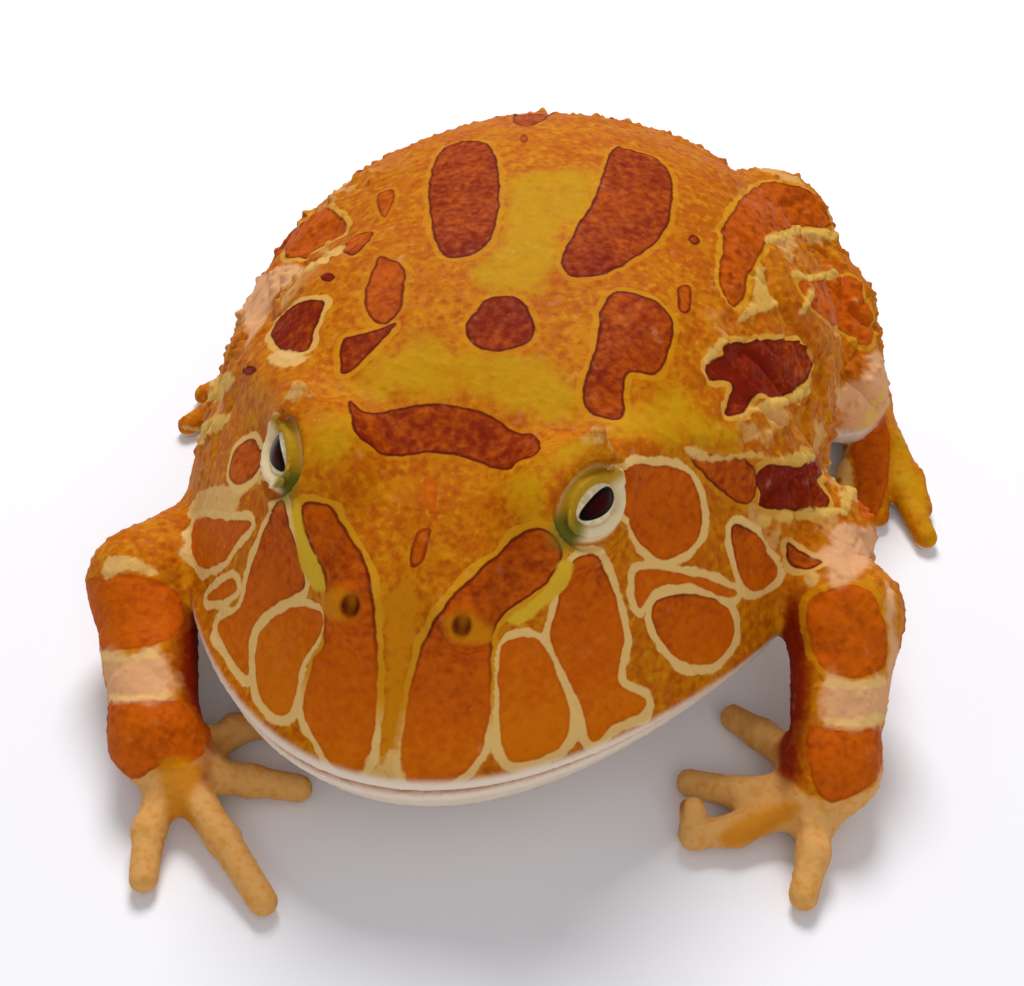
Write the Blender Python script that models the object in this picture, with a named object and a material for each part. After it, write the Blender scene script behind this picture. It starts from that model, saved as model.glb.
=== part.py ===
"""Argentine horned frog, a still model at life size: metres, +Z up, facing -Y, +X to the frog's left.

The flesh is modelled as distance fields in millimetres, one for each limb part and one for the
head and trunk, which are joined smoothly. Each part owns the flesh that is nearest to its own
bones, so the parts meet face to face with a thin gap. Plane cuts then free the jaw, the head,
the lids, the forearms and the hands, and each eyeball sits in its socket.
"""

import bpy
import numpy as np
from mathutils import Matrix, Vector

MM = 0.001

# Driving dimensions, in millimetres
HEAD_WIDTH = 67.0
SNOUT_Y = -47.0
MOUTH_CORNER_Y = -8.0
ARCH_POWER = 1.22
HEAD_LEAN = 0.05
LIP_Z = 11.5
CROWN_Z = 35.5
THROAT_Z = 2.6
CHEEK_SLOPE = 15.5
SNOUT_SLOPE = 15.0
JAW_TUCK = 6.5
NECK_TAPER = 0.1
TRUNK_CENTRE = (0.8, 9.0, 18.5)
TRUNK_RADII = (32.0, 36.0, 22.0)
BELLY_CENTRE = (0.5, 6.0, 10.5)
BELLY_RADII = (29.5, 35.0, 13.5)
SHOULDER_CENTRE = (0.0, -10.0, 17.0)
SHOULDER_RADII = (26.0, 24.0, 16.8)
SHOULDER_LOBE = (33.2, -6.8, 12.8)
SHOULDER_LOBE_RADII = (5.6, 6.0, 5.0)
HEAD_MIDDLE = 0.6
EYE_RADIUS = 4.4
EYE_CENTRE = (11.2, -28.8, 31.0)
EYE_AXIS = (0.72, -0.48, 0.50)
EYE_OPENING = 2.7
LID_CENTRE = (11.6, -27.8, 36.2)
LID_RADIUS = 5.8
NOSTRIL = (4.8, -39.2, 24.7)
NOSTRIL_PIT = (4.9, -41.0, 26.2)
PARTING = 0.3
GROUND_DEPTH = 20.0

# The mouth runs nearly level: its height at the snout and at the corner, and where the jaw ends
MOUTH_FRONT_Z = 11.2
MOUTH_BACK_Z = 9.2
JAW_END_Y = -9.5
NECK_TOP_Y = -5.0
NECK_FOOT_Y = -8.0

# Right side is -1 and left side is 1. An arm goes shoulder, elbow, wrist, palm, and the hand is
# parted from it across the hand's own aim.
ARMS = {
    -1: ((-23.0, -13.0, 9.0), (-31.8, -26.0, 9.2), (-24.6, -41.4, 4.8), (-21.6, -43.8, 3.1)),
    1: ((25.0, -4.0, 13.0), (36.8, -17.0, 12.0), (37.8, -29.6, 4.9), (36.4, -32.6, 3.1)),
}
ARM_RADII = (6.4, 5.2, 4.0, 3.2)
FINGERS = {
    -1: (
        ((-22.2, -44.6, 2.8), (-22.0, -50.0, 2.2), (-20.8, -54.4, 1.2)),
        ((-20.4, -44.8, 2.8), (-15.0, -49.4, 2.4), (-9.5, -54.2, 1.2)),
        ((-19.8, -42.8, 2.6), (-15.0, -42.2, 2.2), (-10.8, -41.2, 1.2)),
        ((-20.6, -41.0, 3.0), (-18.8, -36.6, 2.3), (-15.8, -34.0, 1.2)),
    ),
    1: (
        ((36.6, -33.4, 2.6), (37.2, -38.0, 2.4), (36.9, -42.0, 1.2)),
        ((34.6, -33.0, 2.6), (30.0, -36.6, 1.7), (26.4, -37.8, 1.5), (25.9, -36.8, 3.6)),
        ((34.6, -31.4, 2.6), (29.8, -32.6, 2.2), (25.0, -31.6, 1.2)),
        ((34.8, -28.6, 3.4), (30.8, -25.0, 2.4), (27.8, -22.4, 1.2)),
    ),
}
FINGER_RADII = (1.8, 1.45, 1.3, 1.2)
ELBOW_CUT = 9.0
WRIST_CUT = 6.4
HAND_AIMS = {-1: (0.8, -0.5, -0.3), 1: (-0.6, -0.65, -0.45)}

# A leg goes hip, thigh swell, knee, heel, and the foot runs forward again from the heel.
THIGHS = {
    -1: ((-13.6, 33.0, 17.0), (-19.4, 28.8, 16.0), (-23.6, 23.4, 14.8), (-28.2, 14.5, 12.8)),
    1: ((14.5, 34.0, 17.0), (21.3, 38.0, 19.5), (28.2, 29.5, 14.5), (32.5, 21.3, 11.0)),
}
THIGH_RADII = {-1: (11.5, 10.4, 9.4, 7.0), 1: (9.0, 7.2, 6.8, 5.6)}
SHANKS = {
    -1: ((-28.8, 14.5, 9.8), (-27.4, 26.0, 8.0), (-21.4, 39.0, 7.6)),
    1: ((32.9, 23.8, 8.2), (31.2, 33.0, 8.2), (24.0, 41.0, 8.0)),
}
SHANK_RADII = {-1: (6.2, 6.0, 4.4), 1: (5.4, 5.4, 4.4)}
FEET = {
    -1: ((-23.4, 37.5, 4.0), (-31.5, 26.0, 3.0), (-34.6, 18.0, 2.6)),
    1: ((26.0, 39.5, 4.2), (35.4, 30.6, 3.0), (37.8, 22.6, 2.6)),
}
FOOT_RADII = (3.8, 3.1, 3.0)
TOES = {
    -1: (
        ((-32.4, 19.5, 2.0), (-31.4, 14.5, 1.6), (-31.2, 10.5, 1.0)),
        ((-33.4, 18.5, 2.0), (-33.9, 12.0, 1.6), (-34.0, 6.5, 1.0)),
        ((-34.4, 18.0, 2.0), (-36.8, 11.5, 1.6), (-38.6, 4.5, 1.0)),
        ((-35.2, 18.5, 2.0), (-39.2, 14.0, 1.6), (-42.4, 8.8, 1.0)),
        ((-35.4, 20.0, 2.0), (-39.6, 18.0, 1.6), (-42.8, 15.0, 1.0)),
    ),
    1: (
        ((36.2, 22.4, 2.0), (35.4, 18.4, 1.6), (34.9, 15.4, 1.0)),
        ((37.0, 21.8, 2.0), (37.0, 17.0, 1.6), (36.9, 13.4, 1.0)),
        ((37.8, 21.4, 2.0), (38.6, 16.4, 1.6), (39.0, 11.9, 1.0)),
        ((38.8, 21.8, 2.0), (41.6, 16.0, 1.6), (44.5, 9.6, 1.0)),
        ((39.2, 23.6, 2.0), (42.2, 18.6, 1.6), (43.7, 14.4, 1.0)),
    ),
}
TOE_RADII = (1.8, 1.45, 1.25)

# Grid that the flesh is meshed on, and the triangles left on each part afterwards
GRID_LOW = (-54.0, -62.0, -4.0)
GRID_HIGH = (54.0, 52.0, 46.0)
GRID_STEP = 0.8
FAR = 60.0
EMPTIED = 0.2
SIDE_LEAD = 4.0
TRIANGLES = {"core": 4400, "arm": 1050, "thigh": 300, "shank": 260, "foot": 760}

# Middle of the frog's plan in the coordinates above; the finished model stands centred on the origin
PLAN_MIDDLE = (0.9, -4.9, 0.0)

# Colour, roughness and metallic value of each material
SKIN = {
    "frog_skin": ((0.58, 0.22, 0.02), 0.45, 0.0),
    "frog_lips": ((0.80, 0.66, 0.50), 0.40, 0.0),
    "frog_fingers": ((0.66, 0.40, 0.13), 0.45, 0.0),
    "frog_eye": ((0.06, 0.01, 0.01), 0.08, 0.0),
}


class Flesh:
    """Signed distance to the skin on a regular grid, negative inside, in millimetres."""

    def __init__(self):
        self.axes = [np.arange(a, b, GRID_STEP) for a, b in zip(GRID_LOW, GRID_HIGH)]
        self.values = np.full([len(axis) for axis in self.axes], FAR)

    def near(self, shape, low, high, blend):
        """The part of the grid round a shape, and the distances to the shape there."""
        margin = blend + 3.0 * GRID_STEP
        window = []
        for axis, a, b in zip(self.axes, low, high):
            first, last = np.searchsorted(axis, (a - margin, b + margin))
            window.append(slice(first, last))
        x, y, z = (axis[run] for axis, run in zip(self.axes, window))
        return tuple(window), shape(x[:, None, None], y[None, :, None], z[None, None, :])

    def add(self, shape, low, high, blend):
        """Join a shape, rounding the crease between it and the flesh over the blend length."""
        window, distance = self.near(shape, low, high, blend)
        self.values[window] = smooth_min(self.values[window], distance, blend)

    def carve(self, shape, low, high, blend):
        """Take a shape away, rounding the rim that it leaves."""
        window, distance = self.near(shape, low, high, blend)
        self.values[window] = smooth_max(self.values[window], -distance, blend)


def smooth_min(a, b, blend):
    share = np.clip(0.5 + 0.5 * (b - a) / blend, 0.0, 1.0)
    return b + (a - b) * share - blend * share * (1.0 - share)


def smooth_max(a, b, blend):
    return -smooth_min(-a, -b, blend)


def egg(centre, radii):
    """Ellipsoid as a distance function."""

    def distance(x, y, z):
        shares = [(value - middle) / radius for value, middle, radius in zip((x, y, z), centre, radii)]
        near = np.sqrt(sum(share**2 for share in shares))
        far = np.sqrt(sum((share / radius) ** 2 for share, radius in zip(shares, radii)))
        return near * (near - 1.0) / np.maximum(far, 1e-6)

    return distance


def bone(start, end, start_radius, end_radius):
    """Round-ended tapered rod as a distance function."""
    start, end = np.array(start), np.array(end)
    run = end - start

    def distance(x, y, z):
        offset = (x - start[0], y - start[1], z - start[2])
        along = sum(part * step for part, step in zip(offset, run)) / (run @ run)
        share = np.clip(along, 0.0, 1.0)
        gap = np.sqrt(sum((part - share * step) ** 2 for part, step in zip(offset, run)))
        return gap - (start_radius + share * (end_radius - start_radius))

    return distance


def add_egg(flesh, centre, radii, blend):
    centre, reach = np.array(centre), np.array(radii)
    flesh.add(egg(centre, radii), centre - reach, centre + reach, blend)


def add_chain(flesh, points, radii, blend, first_blend=None):
    """Chain of tapered rods; its first rod joins what is there over first_blend."""
    for i in range(len(points) - 1):
        reach = max(radii[i], radii[i + 1])
        low = np.minimum(points[i], points[i + 1]) - reach
        high = np.maximum(points[i], points[i + 1]) + reach
        rod = bone(points[i], points[i + 1], radii[i], radii[i + 1])
        flesh.add(rod, low, high, first_blend if i == 0 and first_blend else blend)


def mirrored(point, side):
    """A point given for the left side of the head, on either side of its middle."""
    return (HEAD_MIDDLE + point[0] * side, point[1], point[2])


def head_shape(x, y, z):
    """Wide rounded wedge: its plan is the arch of the lips, and it narrows above and below them."""
    rise = np.clip((z - LIP_Z) / (CROWN_Z - LIP_Z), 0.0, 1.4)
    drop = np.clip((LIP_Z - z) / (LIP_Z - THROAT_Z), 0.0, 1.6)
    lip = 0.5 * np.exp(-(((z - LIP_Z) / 1.6) ** 2))
    ahead = np.maximum(MOUTH_CORNER_Y - y, 0.0)
    behind = np.maximum(y - MOUTH_CORNER_Y, 0.0)
    half_width = HEAD_WIDTH / 2 - CHEEK_SLOPE * rise**1.25 - JAW_TUCK * drop**2 + lip - NECK_TAPER * behind**2
    reach = MOUTH_CORNER_Y - SNOUT_Y - SNOUT_SLOPE * rise**1.15 - JAW_TUCK * drop**2 + lip
    middle_y = (SNOUT_Y + MOUTH_CORNER_Y) / 2
    across = x - HEAD_LEAN * (y - middle_y)
    arch = np.sqrt((across / half_width) ** 2 + (ahead / reach) ** ARCH_POWER)
    slope = np.gradient(arch, x.ravel(), y.ravel(), z.ravel())
    steepness = np.sqrt(slope[0] ** 2 + slope[1] ** 2 + slope[2] ** 2)
    wall = (arch - 1.0) / np.maximum(steepness, 0.012)
    hollow = 1.3 * np.exp(-((x / 6.0) ** 2) - (((y + 27.0) / 8.0) ** 2))
    roof = z - (CROWN_Z + 1.0 - 9.5 * (ahead / 34.0) ** 1.8 - hollow)
    throat = THROAT_Z - 1.0 - z
    nape = y + 2.0
    shape = smooth_max(smooth_max(wall, roof, 4.0), throat, 5.0)
    return smooth_max(shape, nape, 6.0)


def add_core(flesh):
    """Trunk, belly, shoulders and head."""
    add_egg(flesh, TRUNK_CENTRE, TRUNK_RADII, 4.0)
    add_egg(flesh, BELLY_CENTRE, BELLY_RADII, 8.0)
    add_egg(flesh, SHOULDER_CENTRE, SHOULDER_RADII, 6.0)
    flesh.add(head_shape, (-36.0, -48.0, 0.0), (36.0, 8.0, 38.0), 7.0)
    add_egg(flesh, SHOULDER_LOBE, SHOULDER_LOBE_RADII, 3.0)
    for side in (-1, 1):
        add_eye_region(flesh, side)


def add_eye_region(flesh, side):
    """Bulge of the eye, its lids and horn, the ridge down to the nostril and the cheek ridge."""
    add_egg(flesh, mirrored(EYE_CENTRE, side), (5.5, 5.7, 5.4), 3.0)
    canthus = [mirrored(point, side) for point in ((9.8, -32.4, 29.4), (5.2, -37.4, 25.2))]
    horn = [mirrored(point, side) for point in ((13.0, -28.2, 34.2), (13.3, -27.0, 37.6))]
    cheek = [mirrored(point, side) for point in ((15.0, -23.0, 32.2), (26.0, -8.0, 26.0))]
    add_chain(flesh, canthus, (2.0, 1.5), 5.0)
    add_chain(flesh, horn, (2.3, 0.7), 2.5)
    add_chain(flesh, cheek, (1.9, 1.9), 4.0)
    add_egg(flesh, mirrored(NOSTRIL, side), (1.6, 1.6, 1.0), 3.0)


def open_eyes_and_nostrils(flesh):
    """Opening between the lids, down to the eyeball, and the pit of the nostril."""
    for side in (-1, 1):
        centre = np.array(mirrored(EYE_CENTRE, side))
        outward = np.array(EYE_AXIS) * (side, 1.0, 1.0)
        start, end = centre + 1.5 * outward, centre + 9.5 * outward
        low, high = np.minimum(start, end) - EYE_OPENING, np.maximum(start, end) + EYE_OPENING
        flesh.carve(bone(start, end, EYE_OPENING, EYE_OPENING + 1.2), low, high, 0.8)
        pit = np.array(mirrored(NOSTRIL_PIT, side))
        flesh.carve(egg(pit, (1.0, 1.4, 1.2)), pit - 1.4, pit + 1.4, 0.4)


def add_arm(flesh, side, first_blend):
    add_chain(flesh, ARMS[side], ARM_RADII, 2.0, first_blend)
    for finger in FINGERS[side]:
        add_chain(flesh, finger, FINGER_RADII, 0.8, 1.6)


def add_thigh(flesh, side, first_blend):
    add_chain(flesh, THIGHS[side], THIGH_RADII[side], 3.0, first_blend)


def add_shank(flesh, side, first_blend):
    add_chain(flesh, SHANKS[side], SHANK_RADII[side], 2.0, first_blend)


def add_foot(flesh, side, first_blend):
    add_chain(flesh, FEET[side], FOOT_RADII, 1.5, first_blend)
    for toe in TOES[side]:
        add_chain(flesh, toe, TOE_RADII, 0.8, 1.2)


LIMBS = (("arm", add_arm, 1.6), ("thigh", add_thigh, 3.0), ("shank", add_shank, 1.4), ("foot", add_foot, 1.0))


def model_flesh():
    """The whole flesh, and for each part the distance to that part's own forms alone."""
    whole = Flesh()
    add_core(whole)
    own = {("core", 0): whole.values.copy()}
    for name, add_limb, first_blend in LIMBS:
        for side in (-1, 1):
            add_limb(whole, side, first_blend)
            limb = Flesh()
            add_limb(limb, side, 0.5)
            own[name, side] = limb.values
    open_eyes_and_nostrils(whole)
    return whole, own


def owned(whole, own, key):
    """The flesh that is nearer to one part than to any other, less half the gap round it."""
    rival = np.min([values for other, values in own.items() if other != key], axis=0)
    lead = np.clip(own[key] - rival, -SIDE_LEAD, SIDE_LEAD)
    slope = np.gradient(lead, GRID_STEP)
    steepness = np.sqrt(slope[0] ** 2 + slope[1] ** 2 + slope[2] ** 2)
    border = lead / np.maximum(steepness, 0.4) + PARTING * 0.75
    return np.maximum(whole.values, border)


def part_sheets(values):
    """Empty the grid points at which two sheets of skin would meet along an edge."""
    parted = False
    while not parted:
        parted = True
        for axis in range(3):
            b, c = [other for other in range(3) if other != axis]
            corners = []
            for step_b, step_c in ((0, 0), (1, 0), (1, 1), (0, 1)):
                window = [slice(None)] * 3
                window[b] = slice(1, None) if step_b else slice(None, -1)
                window[c] = slice(1, None) if step_c else slice(None, -1)
                corners.append(values[tuple(window)])
            first, second, third, fourth = (corner < 0.0 for corner in corners)
            meeting = (first == third) & (second == fourth) & (first != second)
            if meeting.any():
                parted = False
                for corner in corners:
                    corner[meeting & (corner < 0.0)] = EMPTIED


def surface_net(values):
    """One vertex in each cell that the skin crosses, and a quad round each crossed grid edge."""
    part_sheets(values)
    inside = values < 0.0
    shape = np.array(values.shape) - 1
    total = np.zeros((*shape, 3))
    count = np.zeros(shape)
    for axis in range(3):
        others = [other for other in range(3) if other != axis]
        for corner in range(4):
            start = [slice(0, size) for size in shape]
            for bit, other in enumerate(others):
                if corner >> bit & 1:
                    start[other] = slice(1, shape[other] + 1)
            end = list(start)
            end[axis] = slice(1, shape[axis] + 1)
            a, b = values[tuple(start)], values[tuple(end)]
            crossed = inside[tuple(start)] != inside[tuple(end)]
            total[..., axis][crossed] += a[crossed] / (a[crossed] - b[crossed])
            for bit, other in enumerate(others):
                total[..., other][crossed] += corner >> bit & 1
            count[crossed] += 1
    used = count > 0
    index = np.full(shape, -1)
    index[used] = np.arange(used.sum())
    points = (np.argwhere(used) + total[used] / count[used][:, None]) * GRID_STEP + GRID_LOW
    quads = []
    for axis in range(3):
        b, c = [other for other in range(3) if other != axis]
        start = [slice(1, -1)] * 3
        start[axis] = slice(0, -1)
        end = list(start)
        end[axis] = slice(1, None)
        here, there = inside[tuple(start)], inside[tuple(end)]
        edges = np.argwhere(here != there)
        edges[:, b] += 1
        edges[:, c] += 1
        around = []
        for back_b, back_c in ((1, 1), (0, 1), (0, 0), (1, 0)):
            cell = edges.copy()
            cell[:, b] -= back_b
            cell[:, c] -= back_c
            around.append(index[tuple(cell.T)])
        quad = np.stack(around, axis=1)
        leaving = here[here != there]
        flip = leaving if axis == 1 else ~leaving
        quad[flip] = quad[flip][:, ::-1]
        quads.append(quad)
    return points, np.concatenate(quads)


def new_object(name, points, faces):
    """Mesh object from points in millimetres."""
    mesh = bpy.data.meshes.new(name)
    mesh.from_pydata((np.array(points) * MM).tolist(), [], [list(face) for face in faces])
    mesh.update()
    piece = bpy.data.objects.new(name, mesh)
    bpy.context.scene.collection.objects.link(piece)
    return piece


def remove(piece):
    mesh = piece.data
    bpy.data.objects.remove(piece, do_unlink=True)
    bpy.data.meshes.remove(mesh)


def apply_modifiers(piece):
    """Replace the object's mesh by its evaluated mesh."""
    graph = bpy.context.evaluated_depsgraph_get()
    evaluated = bpy.data.meshes.new_from_object(piece.evaluated_get(graph))
    old = piece.data
    piece.modifiers.clear()
    piece.data = evaluated
    bpy.data.meshes.remove(old)


def cut(piece, cutter, operation):
    modifier = piece.modifiers.new("cut", "BOOLEAN")
    modifier.operation = operation
    modifier.solver = "EXACT"
    modifier.object = cutter
    apply_modifiers(piece)


def copied(piece, name):
    twin = bpy.data.objects.new(name, piece.data.copy())
    bpy.context.scene.collection.objects.link(twin)
    return twin


def closed_surfaces(mesh):
    """The mesh's separate surfaces as points in millimetres and faces, the largest first."""
    group = np.arange(len(mesh.vertices))
    ends = np.array([edge.vertices[:] for edge in mesh.edges])
    settled = False
    while not settled:
        low = np.minimum(group[ends[:, 0]], group[ends[:, 1]])
        before = group.copy()
        np.minimum.at(group, ends[:, 0], low)
        np.minimum.at(group, ends[:, 1], low)
        group = group[group]
        settled = bool((group == before).all())
    points = np.array([vertex.co[:] for vertex in mesh.vertices]) / MM
    faces = [tuple(face.vertices) for face in mesh.polygons]
    surfaces = []
    for name in np.unique(group):
        keep = group == name
        number = np.cumsum(keep) - 1
        own_faces = [tuple(int(number[v]) for v in face) for face in faces if keep[face[0]]]
        surfaces.append((points[keep], own_faces))
    return sorted(surfaces, key=lambda surface: -np.ptp(surface[0], axis=0).prod())


def middle(surface):
    points = surface[0]
    return Vector((points.min(axis=0) + points.max(axis=0)) / 2)


def give_mesh(piece, surface):
    """Replace an object's mesh by one closed surface."""
    old = piece.data
    mesh = bpy.data.meshes.new(old.name)
    mesh.from_pydata((surface[0] * MM).tolist(), [], surface[1])
    mesh.update()
    piece.data = mesh
    bpy.data.meshes.remove(old)


def keep_largest(piece):
    surfaces = closed_surfaces(piece.data)
    if len(surfaces) > 1:
        give_mesh(piece, surfaces[0])


def thin_out(piece, triangles):
    """Collapse edges until about the given number of triangles is left."""
    present = sum(len(face.vertices) - 2 for face in piece.data.polygons)
    modifier = piece.modifiers.new("thin_out", "DECIMATE")
    modifier.ratio = min(1.0, triangles / present)
    apply_modifiers(piece)


def block(name, corners):
    """Six-sided cutter from its lower four corners and its upper four, each anticlockwise."""
    faces = ((3, 2, 1, 0), (4, 5, 6, 7), (0, 1, 5, 4), (1, 2, 6, 5), (2, 3, 7, 6), (3, 0, 4, 7))
    return new_object(name, corners, faces)


def slab(name, point, normal, reach, thickness):
    """Square plate with its middle at a point and its faces at right angles to a normal."""
    turn = Vector(normal).to_track_quat("Z", "Y").to_matrix()
    corners = []
    for height in (-thickness / 2, thickness / 2):
        for x, y in ((-reach, -reach), (reach, -reach), (reach, reach), (-reach, reach)):
            corners.append(Vector(point) + turn @ Vector((x, y, height)))
    return block(name, corners)


def divide(piece, beyond_name, point, normal, reach):
    """Part a piece by a thin cut; what lies on the far side of it becomes a new piece."""
    plate = slab("parting_plate", point, normal, reach, PARTING)
    cut(piece, plate, "DIFFERENCE")
    remove(plate)
    normal = Vector(normal)
    near, far = closed_surfaces(piece.data)[:2]
    if (middle(far) - middle(near)).dot(normal) < 0.0:
        near, far = far, near
    beyond = new_object(beyond_name, *far)
    give_mesh(piece, near)
    return beyond


def jaw_block(name, gap):
    """Space of the lower jaw: below the mouth plane and ahead of the jaw's end."""
    front, back = SNOUT_Y - 20.0, JAW_END_Y + gap
    fall = (MOUTH_BACK_Z - MOUTH_FRONT_Z) / (MOUTH_CORNER_Y - SNOUT_Y)
    front_z = MOUTH_FRONT_Z - 20.0 * fall + gap
    back_z = MOUTH_FRONT_Z + fall * (back - SNOUT_Y) + gap
    side = HEAD_WIDTH
    lower = [(-side, front, -20.0), (side, front, -20.0), (side, back, -20.0), (-side, back, -20.0)]
    upper = [(-side, front, front_z), (side, front, front_z), (side, back, back_z), (-side, back, back_z)]
    return block(name, lower + upper)


def ball(name, centre, radius, segments, rings):
    """Closed ball of quads and two caps."""
    points = [(0.0, 0.0, radius)]
    for ring in range(1, rings):
        tilt = np.pi * ring / rings
        for segment in range(segments):
            turn = 2.0 * np.pi * segment / segments
            width = radius * np.sin(tilt)
            points.append((width * np.cos(turn), width * np.sin(turn), radius * np.cos(tilt)))
    points.append((0.0, 0.0, -radius))
    last = len(points) - 1
    faces = []
    for segment in range(segments):
        following = (segment + 1) % segments
        faces.append((0, 1 + segment, 1 + following))
        foot = last - segments
        faces.append((last, foot + following, foot + segment))
        for ring in range(rings - 2):
            a = 1 + ring * segments
            faces.append((a + segment, a + segments + segment, a + segments + following, a + following))
    return new_object(name, np.array(points) + np.array(centre), faces)


def skin_material(name):
    material = bpy.data.materials.get(name)
    if material is None:
        colour, roughness, metallic = SKIN[name]
        material = bpy.data.materials.new(name)
        material.use_nodes = True
        shader = material.node_tree.nodes["Principled BSDF"]
        shader.inputs["Base Color"].default_value = (*colour, 1.0)
        shader.inputs["Roughness"].default_value = roughness
        shader.inputs["Metallic"].default_value = metallic
        material.diffuse_color = (*colour, 1.0)
    return material


def finish(piece, material):
    piece.data.transform(Matrix.Translation(-MM * Vector(PLAN_MIDDLE)))
    piece.data.materials.clear()
    piece.data.materials.append(skin_material(material))
    piece.data.shade_smooth()
    piece.data.set_sharp_from_angle(angle=0.7)


def make_head(core):
    """Cut the core into torso, head, lower jaw and the two upper lids, with sockets for the eyes."""
    pieces = {}
    neck_normal = (0.0, -(CROWN_Z - THROAT_Z), NECK_FOOT_Y - NECK_TOP_Y)
    head = divide(core, "head", (0.0, NECK_TOP_Y, CROWN_Z), neck_normal, HEAD_WIDTH)
    core.name = "torso"
    pieces["lower_jaw"] = copied(head, "lower_jaw")
    inner, outer = jaw_block("jaw_block", 0.0), jaw_block("jaw_gap_block", PARTING)
    cut(pieces["lower_jaw"], inner, "INTERSECT")
    cut(head, outer, "DIFFERENCE")
    for cutter in (inner, outer):
        remove(cutter)
    for side, label in ((-1, "right"), (1, "left")):
        socket = ball("socket", mirrored(EYE_CENTRE, side), EYE_RADIUS + PARTING, 20, 12)
        cut(head, socket, "DIFFERENCE")
        remove(socket)
        lid = copied(head, f"eyelid_horn_{label}")
        lid_middle = mirrored(LID_CENTRE, side)
        inner = ball("lid_ball", lid_middle, LID_RADIUS, 20, 12)
        outer = ball("lid_gap_ball", lid_middle, LID_RADIUS + PARTING, 20, 12)
        cut(lid, inner, "INTERSECT")
        cut(head, outer, "DIFFERENCE")
        for cutter in (inner, outer):
            remove(cutter)
        keep_largest(lid)
        pieces[lid.name] = lid
        pieces[f"eye_{label}"] = ball(f"eye_{label}", mirrored(EYE_CENTRE, side), EYE_RADIUS, 20, 12)
    keep_largest(head)
    pieces["head"] = head
    pieces["torso"] = core
    return pieces


def make_arm(arm, side, label):
    """Cut an arm across the bend of the elbow, and at the wrist across the hand's aim."""
    shoulder, elbow, wrist, _ = (Vector(point) for point in ARMS[side])
    arm.name = f"upper_arm_{label}"
    elbow_normal = (elbow - shoulder).normalized() + (wrist - elbow).normalized()
    forearm = divide(arm, f"forearm_{label}", elbow, elbow_normal, ELBOW_CUT)
    hand = divide(forearm, f"hand_{label}", wrist, HAND_AIMS[side], WRIST_CUT)
    return [arm, forearm, hand]


def main():
    for old in list(bpy.data.objects):
        bpy.data.objects.remove(old, do_unlink=True)
    whole, own = model_flesh()
    pieces = []
    for key in own:
        name, side = key
        points, quads = surface_net(owned(whole, own, key))
        label = {-1: "right", 0: "", 1: "left"}[side]
        piece = new_object(f"{name}_{label}", points, quads)
        keep_largest(piece)
        thin_out(piece, TRIANGLES[name])
        ground = slab("ground", (0.0, 0.0, -GROUND_DEPTH / 2), (0.0, 0.0, 1.0), 80.0, GROUND_DEPTH)
        cut(piece, ground, "DIFFERENCE")
        remove(ground)
        keep_largest(piece)
        if name == "core":
            pieces += make_head(piece).values()
        elif name == "arm":
            pieces += make_arm(piece, side, label)
        else:
            pieces.append(piece)
    for piece in pieces:
        material = "frog_skin"
        if piece.name.startswith("eye_"):
            material = "frog_eye"
        elif piece.name.startswith("hand"):
            material = "frog_fingers"
        elif piece.name == "lower_jaw":
            material = "frog_lips"
        finish(piece, material)


main()
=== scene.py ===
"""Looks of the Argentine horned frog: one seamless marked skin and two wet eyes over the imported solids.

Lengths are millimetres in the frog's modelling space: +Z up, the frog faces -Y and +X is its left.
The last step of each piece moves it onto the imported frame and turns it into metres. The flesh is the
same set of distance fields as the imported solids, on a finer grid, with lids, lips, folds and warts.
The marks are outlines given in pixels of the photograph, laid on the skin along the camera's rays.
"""

import itertools
import math

import bpy
import numpy as np
from mathutils import Matrix, Vector


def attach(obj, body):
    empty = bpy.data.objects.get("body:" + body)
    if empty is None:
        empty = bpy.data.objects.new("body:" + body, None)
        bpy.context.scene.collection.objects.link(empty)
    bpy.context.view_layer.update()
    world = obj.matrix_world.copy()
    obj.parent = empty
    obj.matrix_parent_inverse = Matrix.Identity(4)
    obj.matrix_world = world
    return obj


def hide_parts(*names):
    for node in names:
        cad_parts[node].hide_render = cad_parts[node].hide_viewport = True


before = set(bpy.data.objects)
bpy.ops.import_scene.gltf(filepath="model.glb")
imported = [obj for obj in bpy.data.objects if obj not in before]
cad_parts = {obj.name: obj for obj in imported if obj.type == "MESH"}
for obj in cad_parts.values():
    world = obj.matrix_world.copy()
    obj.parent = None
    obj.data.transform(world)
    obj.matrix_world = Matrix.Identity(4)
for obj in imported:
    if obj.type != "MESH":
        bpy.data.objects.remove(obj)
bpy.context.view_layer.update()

MM = 0.001
PLAN_MIDDLE = np.array((0.9, -4.9, 0.0))

# Head and trunk, as packed
HEAD_WIDTH = 67.0
SNOUT_Y = -47.0
MOUTH_CORNER_Y = -8.0
ARCH_POWER = 1.22
HEAD_LEAN = 0.05
LIP_Z = 11.5
CROWN_Z = 35.5
THROAT_Z = 2.6
CHEEK_SLOPE = 15.5
SNOUT_SLOPE = 15.0
JAW_TUCK = 6.5
NECK_TAPER = 0.1
HOLLOW_Y = -27.0
HOLLOW_DEPTH = 1.3
HOLLOW_REACH = (6.0, 8.0)
ROOF_FALL = 9.5
ROOF_RUN = 34.0
TRUNK_CENTRE = (0.8, 9.0, 18.5)
TRUNK_RADII = (32.0, 36.0, 22.0)
BELLY_CENTRE = (0.5, 6.0, 10.5)
BELLY_RADII = (29.5, 35.0, 13.5)
SHOULDER_CENTRE = (0.0, -10.0, 17.0)
SHOULDER_RADII = (26.0, 24.0, 16.8)
SHOULDER_LOBE = (33.2, -6.8, 12.8)
SHOULDER_LOBE_RADII = (5.6, 6.0, 5.0)
HEAD_MIDDLE = 0.6
MOUTH_FRONT_Z = 11.2
MOUTH_BACK_Z = 9.2
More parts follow.
